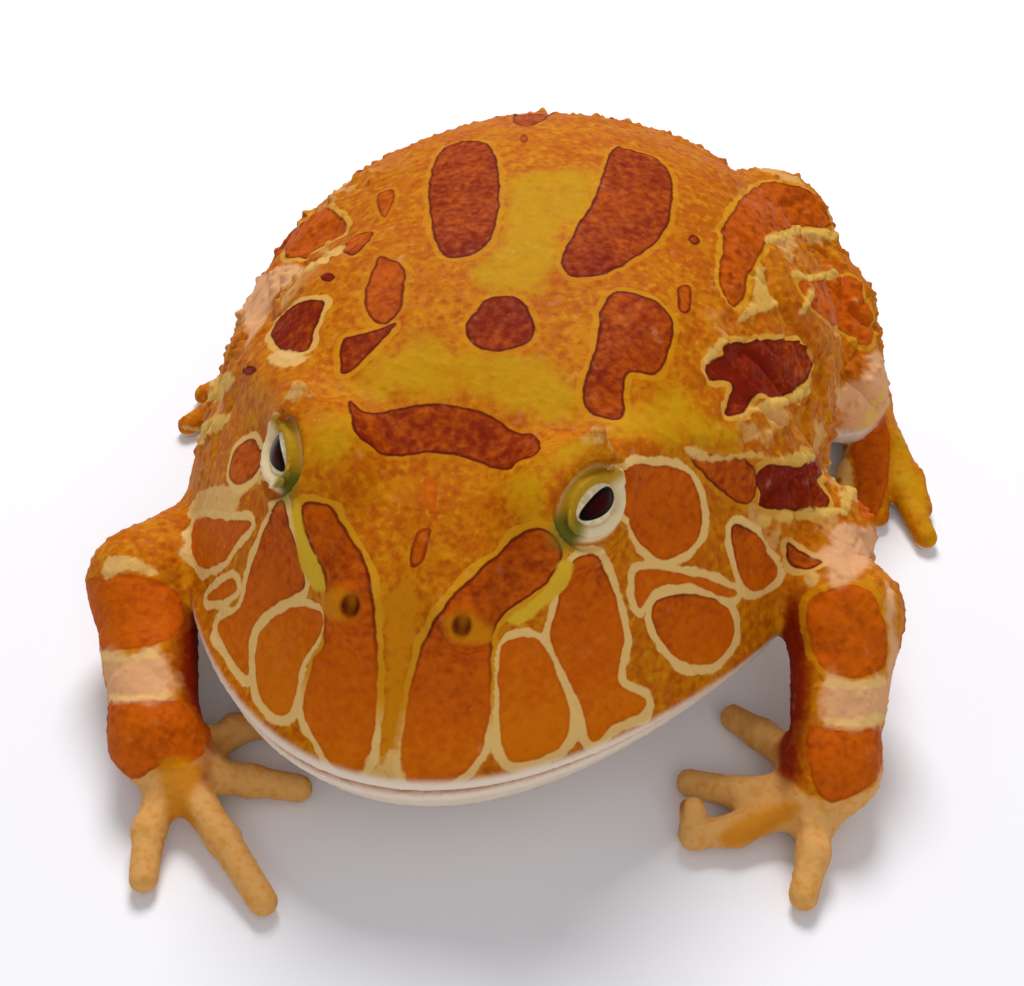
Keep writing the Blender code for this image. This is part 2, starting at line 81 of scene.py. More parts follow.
NOSTRIL = (4.8, -39.2, 24.7)
NOSTRIL_RADII = (1.6, 1.6, 1.0)
NOSTRIL_PIT = (4.9, -41.0, 26.2)
NOSTRIL_PIT_RADII = (0.8, 1.3, 1.1)

# Eyes: the slit runs back and a little up along the side of the head
EYE_RADIUS = 4.4
EYE_BULGE_RADII = (5.5, 5.7, 5.4)
CORNEA_RISE = 0.22
CORNEA_ANGLE = 0.55
EYE_SEGMENTS, EYE_RINGS = 96, 64
EYE_CENTRE = (11.2, -28.8, 31.0)
EYE_AXIS = (0.72, -0.48, 0.50)
EYE_SLIT = (0.57, 1.0, 0.14)
EYE_OPENING = (2.95, 2.3)
EYE_HOLE_OUT = 7.0
EYE_HOLE_RADII = (EYE_OPENING[0] + 0.5, EYE_OPENING[1] + 0.5, 5.5)
LID_THICKNESS = 0.6
LID_RING = (3.9, 3.15)
PUPIL = (2.1, 1.0)
HORN = ((13.0, -28.2, 34.2), (13.3, -27.0, 37.6))
CANTHUS = ((9.8, -32.4, 29.4), (5.2, -37.4, 25.2))
CHEEK_RIDGE = ((15.0, -23.0, 32.2), (26.0, -8.0, 26.0))
EYE_RIDGES = ((CANTHUS, (2.0, 1.5), 5.0), (HORN, (2.3, 0.7), 2.5), (CHEEK_RIDGE, (1.9, 1.9), 4.0))

# Right side is -1 and left side is 1. An arm goes shoulder, elbow, wrist, palm.
ARMS = {
    -1: ((-23.0, -13.0, 9.0), (-31.8, -26.0, 9.2), (-24.6, -41.4, 4.8), (-21.6, -43.8, 3.1)),
    1: ((25.0, -4.0, 13.0), (36.8, -17.0, 12.0), (37.8, -29.6, 4.9), (36.4, -32.6, 3.1)),
}
ARM_RADII = (6.4, 5.2, 4.0, 3.2)
FINGERS = {
    -1: (
        ((-22.2, -44.6, 2.8), (-22.0, -50.0, 2.2), (-20.8, -54.4, 1.2)),
        ((-20.4, -44.8, 2.8), (-15.0, -49.4, 2.4), (-9.5, -54.2, 1.2)),
        ((-19.8, -42.8, 2.6), (-15.0, -42.2, 2.2), (-10.8, -41.2, 1.2)),
        ((-20.6, -41.0, 3.0), (-18.8, -36.6, 2.3), (-15.8, -34.0, 1.2)),
    ),
    1: (
        ((36.6, -33.4, 2.6), (37.2, -38.0, 2.4), (36.9, -42.0, 1.2)),
        ((34.6, -33.0, 2.6), (30.0, -36.6, 1.7), (26.4, -37.8, 1.5), (25.9, -36.8, 3.6)),
        ((34.6, -31.4, 2.6), (29.8, -32.6, 2.2), (25.0, -31.6, 1.2)),
        ((34.8, -28.6, 3.4), (30.8, -25.0, 2.4), (27.8, -22.4, 1.2)),
    ),
}
FINGER_RADII = (1.8, 1.45, 1.3, 1.2)

# A leg goes hip, thigh swell, knee, heel, and the foot runs forward again from the heel.
THIGHS = {
    -1: ((-13.6, 33.0, 17.0), (-19.4, 28.8, 16.0), (-23.6, 23.4, 14.8), (-28.2, 14.5, 12.8)),
    1: ((14.5, 34.0, 17.0), (21.3, 38.0, 19.5), (28.2, 29.5, 14.5), (32.5, 21.3, 11.0)),
}
THIGH_RADII = {-1: (11.5, 10.4, 9.4, 7.0), 1: (9.0, 7.2, 6.8, 5.6)}
SHANKS = {
    -1: ((-28.8, 14.5, 9.8), (-27.4, 26.0, 8.0), (-21.4, 39.0, 7.6)),
    1: ((32.9, 23.8, 8.2), (31.2, 33.0, 8.2), (24.0, 41.0, 8.0)),
}
SHANK_RADII = {-1: (6.2, 6.0, 4.4), 1: (5.4, 5.4, 4.4)}
FEET = {
    -1: ((-23.4, 37.5, 4.0), (-31.5, 26.0, 3.0), (-34.6, 18.0, 2.6)),
    1: ((26.0, 39.5, 4.2), (35.4, 30.6, 3.0), (37.8, 22.6, 2.6)),
}
FOOT_RADII = (3.8, 3.1, 3.0)
TOES = {
    -1: (
        ((-32.4, 19.5, 2.0), (-31.4, 14.5, 1.6), (-31.2, 10.5, 1.0)),
        ((-33.4, 18.5, 2.0), (-33.9, 12.0, 1.6), (-34.0, 6.5, 1.0)),
        ((-34.4, 18.0, 2.0), (-36.8, 11.5, 1.6), (-38.6, 4.5, 1.0)),
        ((-35.2, 18.5, 2.0), (-39.2, 14.0, 1.6), (-42.4, 8.8, 1.0)),
        ((-35.4, 20.0, 2.0), (-39.6, 18.0, 1.6), (-42.8, 15.0, 1.0)),
    ),
    1: (
        ((36.2, 22.4, 2.0), (35.4, 18.4, 1.6), (34.9, 15.4, 1.0)),
        ((37.0, 21.8, 2.0), (37.0, 17.0, 1.6), (36.9, 13.4, 1.0)),
        ((37.8, 21.4, 2.0), (38.6, 16.4, 1.6), (39.0, 11.9, 1.0)),
        ((38.8, 21.8, 2.0), (41.6, 16.0, 1.6), (44.5, 9.6, 1.0)),
        ((39.2, 23.6, 2.0), (42.2, 18.6, 1.6), (43.7, 14.4, 1.0)),
    ),
}
TOE_RADII = (1.8, 1.45, 1.25)

# Grid that the flesh is meshed on; the mesh is halved once afterwards
GRID_LOW = (-54.0, -62.0, -4.0)
GRID_HIGH = (54.0, 52.0, 46.0)
GRID_STEP = 0.45
FAR = 60.0
EMPTIED = 0.1

# Granules: spacing, radius, share of them that rises, seed. Folds: size, width, seed.
WARTS = (3.4, 1.15, 0.45, 1.0)
GRAINS = (1.5, 0.75, 0.8, 5.0)
FINE_GRAINS = (0.9, 0.5, 0.9, 9.0)
WIDE_FOLDS = (7.0, 0.35, 3.0)
NARROW_FOLDS = (3.5, 0.2, 6.0)

# Line between the lips, upper lip and lower lip: height, middle above the mouth and reach
LIP_RELIEF = ((-0.8, 0.0, 0.32), (0.35, 1.0, 0.8), (0.25, -1.1, 0.8))

# Camera of the photograph
PHOTO_WIDTH, PHOTO_HEIGHT = 1024, 986
FOCAL_PIXELS = 1700.0
SENSOR_WIDTH = 36.0
CAMERA_PLACE = np.array((34.18, -138.22, 125.72))
CAMERA_TURN = math.radians(14.0)
CAMERA_TILT = math.radians(40.0)

# Outlines of the marks in pixels of the photograph, with how dark each is and how pale its border is
MARKS = {
    "back_oval_right": (0.6, 0.25, ((439, 153), (462, 142), (489, 145), (499, 175), (498, 215), (487, 244),
                                     (465, 257), (443, 256), (431, 225), (429, 185))),
    "back_oval_left": (0.6, 0.25, ((611, 151), (630, 150), (658, 159), (673, 185), (666, 230), (643, 252),
                                    (606, 273), (572, 276), (561, 258), (577, 226), (595, 195))),
    "rump_spot_right": (0.5, 0.1, ((512, 121), (525, 108), (545, 101), (555, 113), (530, 127))),
    "rump_spot_left": (0.4, 0.1, ((603, 104), (606, 117), (625, 120), (633, 112), (620, 103))),
    "nape": (0.5, 0.2, ((465, 328), (476, 311), (489, 298), (518, 298), (534, 322), (530, 341), (500, 352),
                        (475, 345))),
    "key_left": (0.3, 0.3, ((602, 307), (618, 291), (655, 300), (674, 322), (667, 358), (655, 374),
                            (629, 374), (625, 395), (622, 418), (593, 415), (582, 392), (596, 346))),
    "key_right_foot": (0.4, 0.3, ((343, 340), (368, 333), (396, 323), (385, 338), (361, 363), (341, 373))),
    "key_right_top": (0.1, 0.2, ((376, 260), (390, 260), (405, 272), (400, 310), (382, 325), (364, 305))),
    "flank_right": (0.5, 0.6, ((300, 304), (325, 302), (315, 330), (307, 351), (280, 350), (272, 328))),
    "back_side_right": (0.3, 0.5, ((325, 208), (345, 222), (322, 243), (289, 259), (290, 243), (308, 222))),
    "brow_bar": (0.35, 0.15, ((349, 401), (362, 411), (382, 411), (425, 403), (458, 405), (489, 415),
                              (515, 431), (535, 435), (542, 447), (532, 457), (517, 462), (510, 470),
                              (494, 469), (474, 461), (453, 455), (423, 454), (386, 457), (370, 446),
                              (358, 436), (352, 424))),
    "forehead_streak": (0.0, 0.0, ((418, 531), (430, 528), (430, 540), (423, 560), (411, 568), (410, 552))),
    "forehead_streak_high": (-0.3, 0.0, ((422, 482), (429, 477), (437, 488), (436, 505), (432, 515),
                                         (425, 502))),
    "cheek_spot_right": (0.0, 0.8, ((236, 448), (256, 440), (259, 468), (244, 484), (229, 478))),
    "cheek_patch_right": (0.0, 0.8, ((196, 518), (225, 520), (252, 522), (238, 540), (224, 561), (202, 569),
                                     (191, 545))),
    "cheek_patch_low_right": (0.0, 0.9, ((208, 596), (232, 577), (236, 592), (215, 601))),
    "cheek_band_right": (0.05, 0.8, ((283, 500), (291, 530), (304, 570), (303, 590), (285, 600), (262, 616),
                                     (249, 640), (248, 676), (231, 657), (217, 625), (240, 606), (251, 566),
                                     (270, 515))),
    "snout_patch_right": (0.1, 0.4, ((301, 504), (318, 502), (334, 508), (346, 530), (359, 550), (369, 572),
                                     (374, 601), (377, 640), (378, 690), (373, 740), (360, 776), (333, 764),
                                     (306, 722), (304, 695), (314, 658), (323, 642), (325, 585), (317, 560),
                                     (305, 530))),
    "lip_patch_right": (-0.2, 0.9, ((262, 628), (292, 608), (320, 612), (320, 636), (303, 662), (290, 712),
                                    (268, 708), (256, 680), (257, 645))),
    "snout_patch_left": (0.15, 0.4, ((520, 533), (545, 528), (562, 548), (548, 582), (502, 618), (492, 650),
                                     (491, 700), (480, 755), (450, 781), (416, 786), (401, 764), (409, 692),
                                     (424, 640), (452, 596), (492, 558))),
    "lip_patch_left": (-0.2, 0.9, ((502, 646), (540, 641), (560, 680), (570, 728), (548, 754), (508, 760),
                                   (499, 715))),
    "under_eye_left": (0.0, 0.8, ((572, 562), (599, 557), (618, 607), (624, 645), (619, 684), (645, 698),
                                  (640, 712), (612, 726), (590, 741), (578, 698), (551, 645), (556, 610))),
    "cheek_mark_left": (-0.1, 0.9, ((625, 470), (655, 465), (690, 475), (702, 510), (697, 542), (668, 560),
                                    (641, 545), (626, 510))),
    "cheek_oval_left": (0.15, 0.9, ((731, 528), (749, 529), (770, 551), (777, 577), (755, 592), (740, 578))),
    "jaw_mark_left": (0.2, 0.9, ((661, 598), (692, 594), (725, 605), (734, 636), (714, 663), (685, 662),
                                 (662, 642), (652, 615))),
    "cheek_field_left": (-0.2, 0.8, ((640, 570), (690, 575), (735, 590), (725, 598), (690, 584), (655, 590),
                                     (640, 610), (634, 590))),
    "temple_blotch_left": (0.75, 0.5, ((757, 475), (774, 464), (801, 467), (804, 453), (820, 461),
                                       (823, 475), (815, 481), (829, 502), (818, 513), (793, 511),
                                       (766, 508), (760, 494))),
    "ridge_band_left": (0.1, 0.2, ((690, 455), (745, 458), (757, 480), (748, 505), (715, 485))),
    "shoulder_blotch_left": (0.7, 0.5, ((707, 366), (714, 358), (725, 355), (725, 344), (749, 341),
                                        (774, 338), (796, 340), (813, 352), (815, 369), (804, 385),
                                        (782, 396), (760, 393), (749, 407), (738, 415), (727, 412),
                                        (730, 396), (733, 388), (727, 380), (710, 380))),
    "thigh_patch_left": (0.3, 0.4, ((722, 228), (736, 205), (749, 191), (771, 184), (793, 186), (815, 195),
                                    (827, 213), (828, 228), (804, 227), (785, 231), (768, 239), (757, 259),
                                    (747, 278), (745, 297), (733, 308), (722, 292), (718, 273), (722, 246))),
    "leg_patch_left": (0.2, 0.4, ((796, 284), (815, 281), (837, 273), (858, 279), (863, 297), (873, 320),
                                  (871, 343), (862, 346), (845, 333), (818, 314), (806, 302))),
    "foot_mark_left": (0.2, 0.1, ((880, 415), (886, 423), (890, 450), (886, 491), (875, 519), (861, 513),
                                  (856, 478), (852, 445), (864, 437))),
    "cheek_fleck_left": (0.5, 0.6, ((787, 543), (800, 550), (823, 560), (800, 568), (788, 562))),
    "streak_back_low": (0.3, 0.2, ((343, 238), (374, 231), (356, 255), (341, 250))),
    "streak_back_high": (0.3, 0.2, ((378, 193), (396, 191), (386, 217), (378, 210))),
    "dot_flank_high": (0.6, 0.0, ((321, 278), (329, 274), (337, 278), (330, 283))),
    "dot_flank_low": (0.6, 0.0, ((241, 371), (250, 366), (258, 370), (249, 375))),
    "dot_back_middle": (0.3, 0.0, ((519, 139), (524, 134), (529, 139), (524, 144))),
    "dot_back_left": (0.5, 0.0, ((688, 239), (694, 234), (701, 240), (694, 245))),
    "streak_back_left": (0.2, 0.0, ((678, 288), (690, 286), (692, 308), (680, 310))),
    "dot_shoulder_left": (0.9, 0.0, ((850, 534), (857, 527), (866, 533), (858, 540))),
    "arm_right_upper": (0.15, 0.1, ((84, 585), (105, 578), (135, 575), (165, 582), (182, 600), (180, 630),
                                    (155, 645), (112, 651), (84, 648))),
    "arm_right_lower": (0.2, 0.0, ((86, 702), (130, 701), (170, 700), (196, 705), (212, 735), (196, 760),
                                   (165, 765), (138, 778), (104, 772))),
    "arm_left_upper": (0.15, 0.3, ((806, 604), (825, 590), (850, 582), (872, 590), (886, 620), (888, 655),
                                   (880, 672), (850, 678), (828, 672), (812, 650))),
    "arm_left_lower": (0.2, 0.1, ((808, 727), (850, 731), (888, 727), (892, 755), (872, 785), (835, 803),
                                  (818, 792), (808, 765))),
}
MARK_DEPTH = 1.5
MARK_REACH = 4.0
OUTLINE_STEPS = 5

# Marks of the sides that the photograph hides, guessed: middle and reach along x, y and z
GUESSED_MARKS = (
    ((-12.0, 38.5, 26.0), (5.5, 7.0, 7.0)),
    ((10.0, 41.0, 24.0), (5.0, 6.0, 7.0)),
    ((-2.0, 45.0, 13.0), (4.5, 4.0, 5.0)),
    ((-29.0, 9.0, 27.0), (5.0, 6.0, 5.0)),
    ((-31.0, -3.0, 19.0), (4.0, 4.0, 4.0)),
    ((-25.0, 24.0, 29.0), (5.0, 5.0, 4.0)),
    ((-34.0, 25.0, 17.0), (4.0, 6.0, 5.0)),
    ((-34.0, 24.0, 8.0), (4.0, 4.0, 4.0)),
    ((-16.0, 44.0, 16.0), (5.0, 4.0, 4.0)),
    ((27.0, 44.0, 19.0), (5.0, 4.0, 5.0)),
    ((34.0, 37.0, 9.0), (4.0, 4.0, 4.0)),
)
GUESSED_TONE = 0.35
GUESSED_HALO = 0.3

# Softer patches of colour, as outlines in pixels of the photograph, with the softness of their edge
TINTS = {
    "yellow": (2.5, (
        ((505, 180), (590, 170), (590, 205), (560, 245), (548, 288), (480, 290), (478, 265), (500, 235)),
        ((345, 395), (365, 372), (395, 348), (425, 338), (470, 355), (540, 352), (580, 385), (590, 410),
         (545, 420), (480, 398), (420, 396)),
        ((600, 420), (640, 400), (680, 392), (720, 420), (740, 440), (700, 442), (650, 440)),
        ((366, 420), (350, 455), (320, 470), (306, 440), (325, 410)),
        ((500, 478), (535, 468), (552, 450), (585, 436), (605, 440), (580, 452), (556, 470), (540, 500),
         (510, 500)),
        ((893, 430), (905, 440), (935, 520), (938, 540), (925, 548), (912, 535), (895, 500), (890, 470)),
    )),
    "gold": (0.5, (
        ((292, 505), (299, 503), (306, 540), (318, 560), (326, 590), (314, 590), (302, 570), (296, 545)),
        ((558, 562), (573, 562), (568, 585), (545, 606), (520, 626), (506, 620), (530, 602), (550, 582)),
    )),
    "amber": (0.8, (
        ((320, 594), (330, 590), (342, 588), (354, 594), (360, 606), (354, 618), (340, 621), (326, 617)),
        ((444, 622), (454, 613), (468, 612), (482, 620), (494, 632), (488, 643), (466, 644), (450, 640)),
        ((160, 762), (185, 758), (204, 772), (190, 800), (196, 826), (174, 829), (164, 800)),
        ((718, 838), (745, 815), (790, 800), (800, 812), (770, 832), (735, 848)),
        ((386, 600), (405, 580), (422, 600), (408, 660), (399, 760), (382, 760), (386, 690)),
    )),
    "cream": (0.45, (
        ((106, 558), (125, 556), (153, 566), (156, 576), (125, 572), (104, 578)),
        ((93, 650), (130, 655), (150, 648), (160, 652), (158, 660), (130, 662), (93, 662)),
        ((95, 692), (130, 694), (165, 690), (170, 697), (130, 701), (97, 701)),
        ((828, 678), (856, 681), (884, 676), (886, 686), (856, 690), (826, 688)),
        ((826, 714), (850, 718), (884, 712), (884, 724), (850, 727), (826, 724)),
        ((361, 778), (366, 758), (376, 748), (382, 764), (390, 748), (400, 752), (404, 780), (384, 783)),
        ((684, 447), (700, 449), (715, 455), (740, 452), (760, 452), (775, 457), (800, 452), (815, 455),
         (812, 462), (790, 464), (770, 461), (745, 458), (712, 462), (690, 456)),
        ((706, 364), (708, 352), (722, 338), (727, 343), (716, 356)),
        ((738, 418), (755, 405), (770, 398), (795, 392), (812, 383), (812, 395), (790, 404), (765, 410)),
        ((765, 237), (785, 230), (806, 228), (830, 231), (835, 241), (808, 236), (786, 238), (766, 246)),
        ((790, 272), (815, 274), (836, 270), (838, 278), (815, 281), (790, 279)),
        ((806, 290), (812, 287), (813, 295), (806, 308), (800, 317), (797, 314), (801, 303)),
        ((757, 265), (764, 270), (770, 290), (778, 305), (765, 312), (752, 316), (735, 325), (740, 315),
         (750, 300), (752, 280)),
        ((831, 457), (845, 456), (853, 470), (853, 500), (846, 516), (838, 512), (842, 480), (834, 478)),
        ((796, 520), (800, 510), (815, 508), (838, 507), (840, 514), (820, 518)),
        ((757, 520), (764, 514), (771, 520), (768, 528), (759, 527)),
        ((776, 515), (784, 510), (792, 516), (788, 524), (778, 522)),
        ((804, 572), (814, 569), (818, 578), (812, 586), (804, 582)),
        ((305, 266), (320, 252), (341, 241), (342, 252), (325, 262), (308, 272)),
        ((267, 358), (280, 350), (300, 352), (308, 358), (295, 366), (275, 366)),
        ((186, 512), (200, 492), (222, 484), (240, 486), (262, 472), (268, 476), (245, 492), (236, 512),
         (238, 518), (215, 514), (195, 520)),
        ((205, 400), (212, 380), (222, 372), (235, 378), (228, 390), (214, 402)),
        ((196, 440), (206, 422), (226, 412), (230, 420), (212, 434), (202, 446)),
    )),
    "pink": (1.0, (
        ((838, 398), (845, 385), (860, 372), (875, 352), (886, 365), (890, 395), (885, 412), (868, 430),
         (850, 440), (842, 425)),
        ((822, 548), (845, 523), (876, 535), (868, 565), (840, 588), (826, 570)),
        ((243, 340), (244, 310), (258, 285), (285, 268), (302, 262), (298, 275), (278, 290), (262, 310),
         (252, 335)),
        ((93, 650), (130, 655), (155, 648), (172, 665), (170, 698), (130, 701), (95, 701)),
        ((886, 590), (896, 605), (897, 700), (892, 755), (882, 800), (878, 780), (887, 740), (888, 660)),
        ((826, 678), (856, 681), (886, 676), (888, 724), (850, 728), (824, 724)),
    )),
}

# Colours of skin and eyes, linear
ORANGE = (0.50, 0.125, 0.001)
AMBER = (0.58, 0.200, 0.002)
RUST = (0.40, 0.070, 0.001)
YELLOW = (0.52, 0.28, 0.002)
GOLD = (0.60, 0.25, 0.003)
CREAM = (0.74, 0.46, 0.15)
STRIPE = (0.63, 0.38, 0.02)
PINK = (0.74, 0.40, 0.20)
PALE = (0.80, 0.66, 0.52)
MARK_PALE = (0.62, 0.150, 0.001)
MARK_LIGHT = (0.54, 0.098, 0.001)
MARK_DARK = (0.19, 0.010, 0.001)
# Dark rim inside the marks' edges; the same colour is painted shade in the nostril pits
RIM_AND_NOSTRIL_SHADE = (0.10, 0.006, 0.001)
TAN = (0.66, 0.34, 0.10)
# Painted shade on the inner side of the arms, turned to the body and the floor
SHADED_RED = (0.22, 0.014, 0.001)
LIP_LINE = (0.42, 0.15, 0.08)
LID_YELLOW = (0.44, 0.24, 0.010)
LID_WHITE = (0.74, 0.58, 0.34)
LID_GREEN = (0.16, 0.15, 0.015)
IRIS_CREAM = (0.80, 0.68, 0.46)
IRIS_TAN = (0.62, 0.48, 0.24)
IRIS_EDGE = (0.46, 0.38, 0.08)
PUPIL_MIDDLE = (0.030, 0.001, 0.001)
PUPIL_EDGE = (0.003, 0.001, 0.001)
SKIN_ROUGHNESS = (0.5, 0.66)
SKIN_SPECULAR = 0.04
EYE_ROUGHNESS = 0.12
EYE_SPECULAR = 0.06

# Studio: a white floor and two lamps, each with its place, size and power, in metres and watts
FLOOR_SIZE = 3.0
FLOOR_PLACE = (0.0, 0.5, -0.0002)
FLOOR_COLOURS = ((0.86, 0.86, 0.90), (0.90, 0.90, 0.93))
FLOOR_ROUGHNESS = 0.7
SKY_COLOUR = (0.95, 0.96, 1.0)
SKY_STRENGTH = 0.41
LAMP_TARGET = (0.0, 0.0, 0.02)
LAMPS = {
    "key": ((-0.10, 0.38, 0.55), 0.3, 3.6),
    "fill": ((0.25, -0.60, 0.45), 0.5, 1.3),
}


class Flesh:
    """Forms joined one after another into one signed distance to the skin, negative inside."""

    def __init__(self):
        self.steps = []

    def add(self, shape, low, high, blend):
        """Join a shape, rounding the crease between it and the flesh over the blend length."""
        self.steps.append((shape, np.array(low), np.array(high), blend, smooth_min, 1.0))

    def carve(self, shape, low, high, blend):
        """Take a shape away, rounding the rim that it leaves."""
        self.steps.append((shape, np.array(low), np.array(high), blend, smooth_max, -1.0))

    def on_grid(self, axes):
        values = np.full([len(axis) for axis in axes], FAR, dtype=np.float32)
        for shape, low, high, blend, join, sign in self.steps:
            margin = blend + 3.0 * GRID_STEP
            window = []
            for axis, a, b in zip(axes, low, high):
                window.append(slice(*np.searchsorted(axis, (a - margin, b + margin))))
            x, y, z = (axis[run] for axis, run in zip(axes, window))
            distance = shape(x[:, None, None], y[None, :, None], z[None, None, :])
            window = tuple(window)
            values[window] = join(values[window], sign * distance, blend)
        return values

    def at(self, points):
        values = np.full(len(points), FAR)
        for shape, low, high, blend, join, sign in self.steps:
            margin = blend + 3.0 * GRID_STEP
            near = np.flatnonzero(((points > low - margin) & (points < high + margin)).all(axis=1))
            if len(near):
                values[near] = join(values[near], sign * shape(*points[near].T), blend)
        return values

    def normals(self, points):
        step = 0.05
        slopes = []
        for axis in np.eye(3) * step:
            slopes.append(self.at(points + axis) - self.at(points - axis))
        slopes = np.stack(slopes, axis=1)
        return slopes / np.maximum(np.linalg.norm(slopes, axis=1, keepdims=True), 1e-9)


def smooth_min(a, b, blend):
    share = np.clip(0.5 + 0.5 * (b - a) / blend, 0.0, 1.0)
    return b + (a - b) * share - blend * share * (1.0 - share)


def smooth_max(a, b, blend):
    return -smooth_min(-a, -b, blend)


def eased(value, start, end):
    """Smooth step from 0 at start to 1 at end."""
    share = np.clip((value - start) / (end - start), 0.0, 1.0)
    return share * share * (3.0 - 2.0 * share)


def unit(vector):
    vector = np.array(vector, dtype=float)
    return vector / np.linalg.norm(vector)


def egg(centre, radii):
    """Ellipsoid as a distance function."""

    def distance(x, y, z):
        shares = [(value - middle) / radius for value, middle, radius in zip((x, y, z), centre, radii)]
        near = np.sqrt(sum(share**2 for share in shares))
        far = np.sqrt(sum((share / radius) ** 2 for share, radius in zip(shares, radii)))
        return near * (near - 1.0) / np.maximum(far, 1e-6)

    return distance


def bone(start, end, start_radius, end_radius):
    """Round-ended tapered rod as a distance function."""
    start, end = np.array(start), np.array(end)
    run = end - start

    def distance(x, y, z):
        offset = (x - start[0], y - start[1], z - start[2])
        along = sum(part * step for part, step in zip(offset, run)) / (run @ run)
        share = np.clip(along, 0.0, 1.0)
        gap = np.sqrt(sum((part - share * step) ** 2 for part, step in zip(offset, run)))
        return gap - (start_radius + share * (end_radius - start_radius))

    return distance


def turned(shape, origin, frame_axes):
    """A distance function given in its own axes round an origin."""

    def distance(x, y, z):
        offset = (x - origin[0], y - origin[1], z - origin[2])
        local = [sum(part * step for part, step in zip(offset, axis)) for axis in frame_axes]
        return shape(*local)

    return distance


def add_egg(flesh, centre, radii, blend):
    centre, reach = np.array(centre), np.array(radii)
    flesh.add(egg(centre, radii), centre - reach, centre + reach, blend)


def add_chain(flesh, points, radii, blend, first_blend=None):
    """Chain of tapered rods; its first rod joins what is there over first_blend."""
    for i in range(len(points) - 1):
        reach = max(radii[i], radii[i + 1])
        low = np.minimum(points[i], points[i + 1]) - reach
        high = np.maximum(points[i], points[i + 1]) + reach
        rod = bone(points[i], points[i + 1], radii[i], radii[i + 1])
        flesh.add(rod, low, high, first_blend if i == 0 and first_blend else blend)


def mirrored(point, side):
    """A point given for the left side of the head, on either side of its middle."""
    return np.array((HEAD_MIDDLE + point[0] * side, point[1], point[2]))


def head_arch(x, y, z):
    """1 on the head's wall: its plan is the arch of the lips, and it narrows above and below them."""
    rise = np.clip((z - LIP_Z) / (CROWN_Z - LIP_Z), 0.0, 1.4)
    drop = np.clip((LIP_Z - z) / (LIP_Z - THROAT_Z), 0.0, 1.6)
    lip = 0.5 * np.exp(-(((z - LIP_Z) / 1.6) ** 2))
    ahead = np.maximum(MOUTH_CORNER_Y - y, 0.0)
    behind = np.maximum(y - MOUTH_CORNER_Y, 0.0)
    half_width = HEAD_WIDTH / 2 - CHEEK_SLOPE * rise**1.25 - JAW_TUCK * drop**2 + lip - NECK_TAPER * behind**2
    reach = MOUTH_CORNER_Y - SNOUT_Y - SNOUT_SLOPE * rise**1.15 - JAW_TUCK * drop**2 + lip
    middle_y = (SNOUT_Y + MOUTH_CORNER_Y) / 2
    across = x - HEAD_LEAN * (y - middle_y)
    return np.sqrt((across / half_width) ** 2 + (ahead / reach) ** ARCH_POWER)


def head_wall(x, y, z):
    """Distance to the head's wall, from the arch and its slope."""
    step = 0.25
    arch = head_arch(x, y, z)
    slope = (
        head_arch(x + step, y, z) - head_arch(x - step, y, z),
        head_arch(x, y + step, z) - head_arch(x, y - step, z),
        head_arch(x, y, z + step) - head_arch(x, y, z - step),
    )
    steepness = np.sqrt(sum(part**2 for part in slope)) / (2.0 * step)
    return (arch - 1.0) / np.maximum(steepness, 0.012)


def head_shape(x, y, z):
    """The wall closed by the roof, the throat and the nape."""
    ahead = np.maximum(MOUTH_CORNER_Y - y, 0.0)
    across, along = x / HOLLOW_REACH[0], (y - HOLLOW_Y) / HOLLOW_REACH[1]
    hollow = HOLLOW_DEPTH * np.exp(-(across**2) - along**2)
    roof = z - (CROWN_Z + 1.0 - ROOF_FALL * (ahead / ROOF_RUN) ** 1.8 - hollow)
    throat = THROAT_Z - 1.0 - z
    nape = y + 2.0
    shape = smooth_max(smooth_max(head_wall(x, y, z), roof, 4.0), throat, 5.0)
    return smooth_max(shape, nape, 6.0)


def eye_axes(side):
    """Directions of an eye: along its slit, across it, and outward."""
    outward = unit(np.array(EYE_AXIS) * (side, 1.0, 1.0))
    slit = np.array(EYE_SLIT) * (side, 1.0, 1.0)
    slit = unit(slit - outward * (slit @ outward))
    return slit, np.cross(outward, slit) * side, outward


def add_core(flesh):
    """Trunk, belly, shoulders and head."""
    add_egg(flesh, TRUNK_CENTRE, TRUNK_RADII, 4.0)
    add_egg(flesh, BELLY_CENTRE, BELLY_RADII, 8.0)
    add_egg(flesh, SHOULDER_CENTRE, SHOULDER_RADII, 6.0)
    flesh.add(head_shape, (-36.0, -48.0, 0.0), (36.0, 8.0, 38.0), 7.0)
    add_egg(flesh, SHOULDER_LOBE, SHOULDER_LOBE_RADII, 3.0)
    for side in (-1, 1):
        add_eye_region(flesh, side)


def add_eye_region(flesh, side):
    """Bulge of the eye, its lids and horn, the ridge down to the nostril and the cheek ridge."""
    add_egg(flesh, mirrored(EYE_CENTRE, side), EYE_BULGE_RADII, 3.0)
    for ends, radii, blend in EYE_RIDGES:
        add_chain(flesh, [mirrored(point, side) for point in ends], radii, blend)
    add_egg(flesh, mirrored(NOSTRIL, side), NOSTRIL_RADII, 3.0)


def eye_ring(side, size, radius):
    """Closed ring of points round the eye's opening, at a distance from the eye's centre."""
    slit, across, outward = eye_axes(side)
    ring = []
    for turn in np.linspace(0.0, 2.0 * math.pi, 33):
        a, b = size[0] * math.cos(turn), size[1] * math.sin(turn)
        rise = math.sqrt(radius**2 - a * a - b * b)
        ring.append(mirrored(EYE_CENTRE, side) + a * slit + b * across + rise * outward)
    return ring


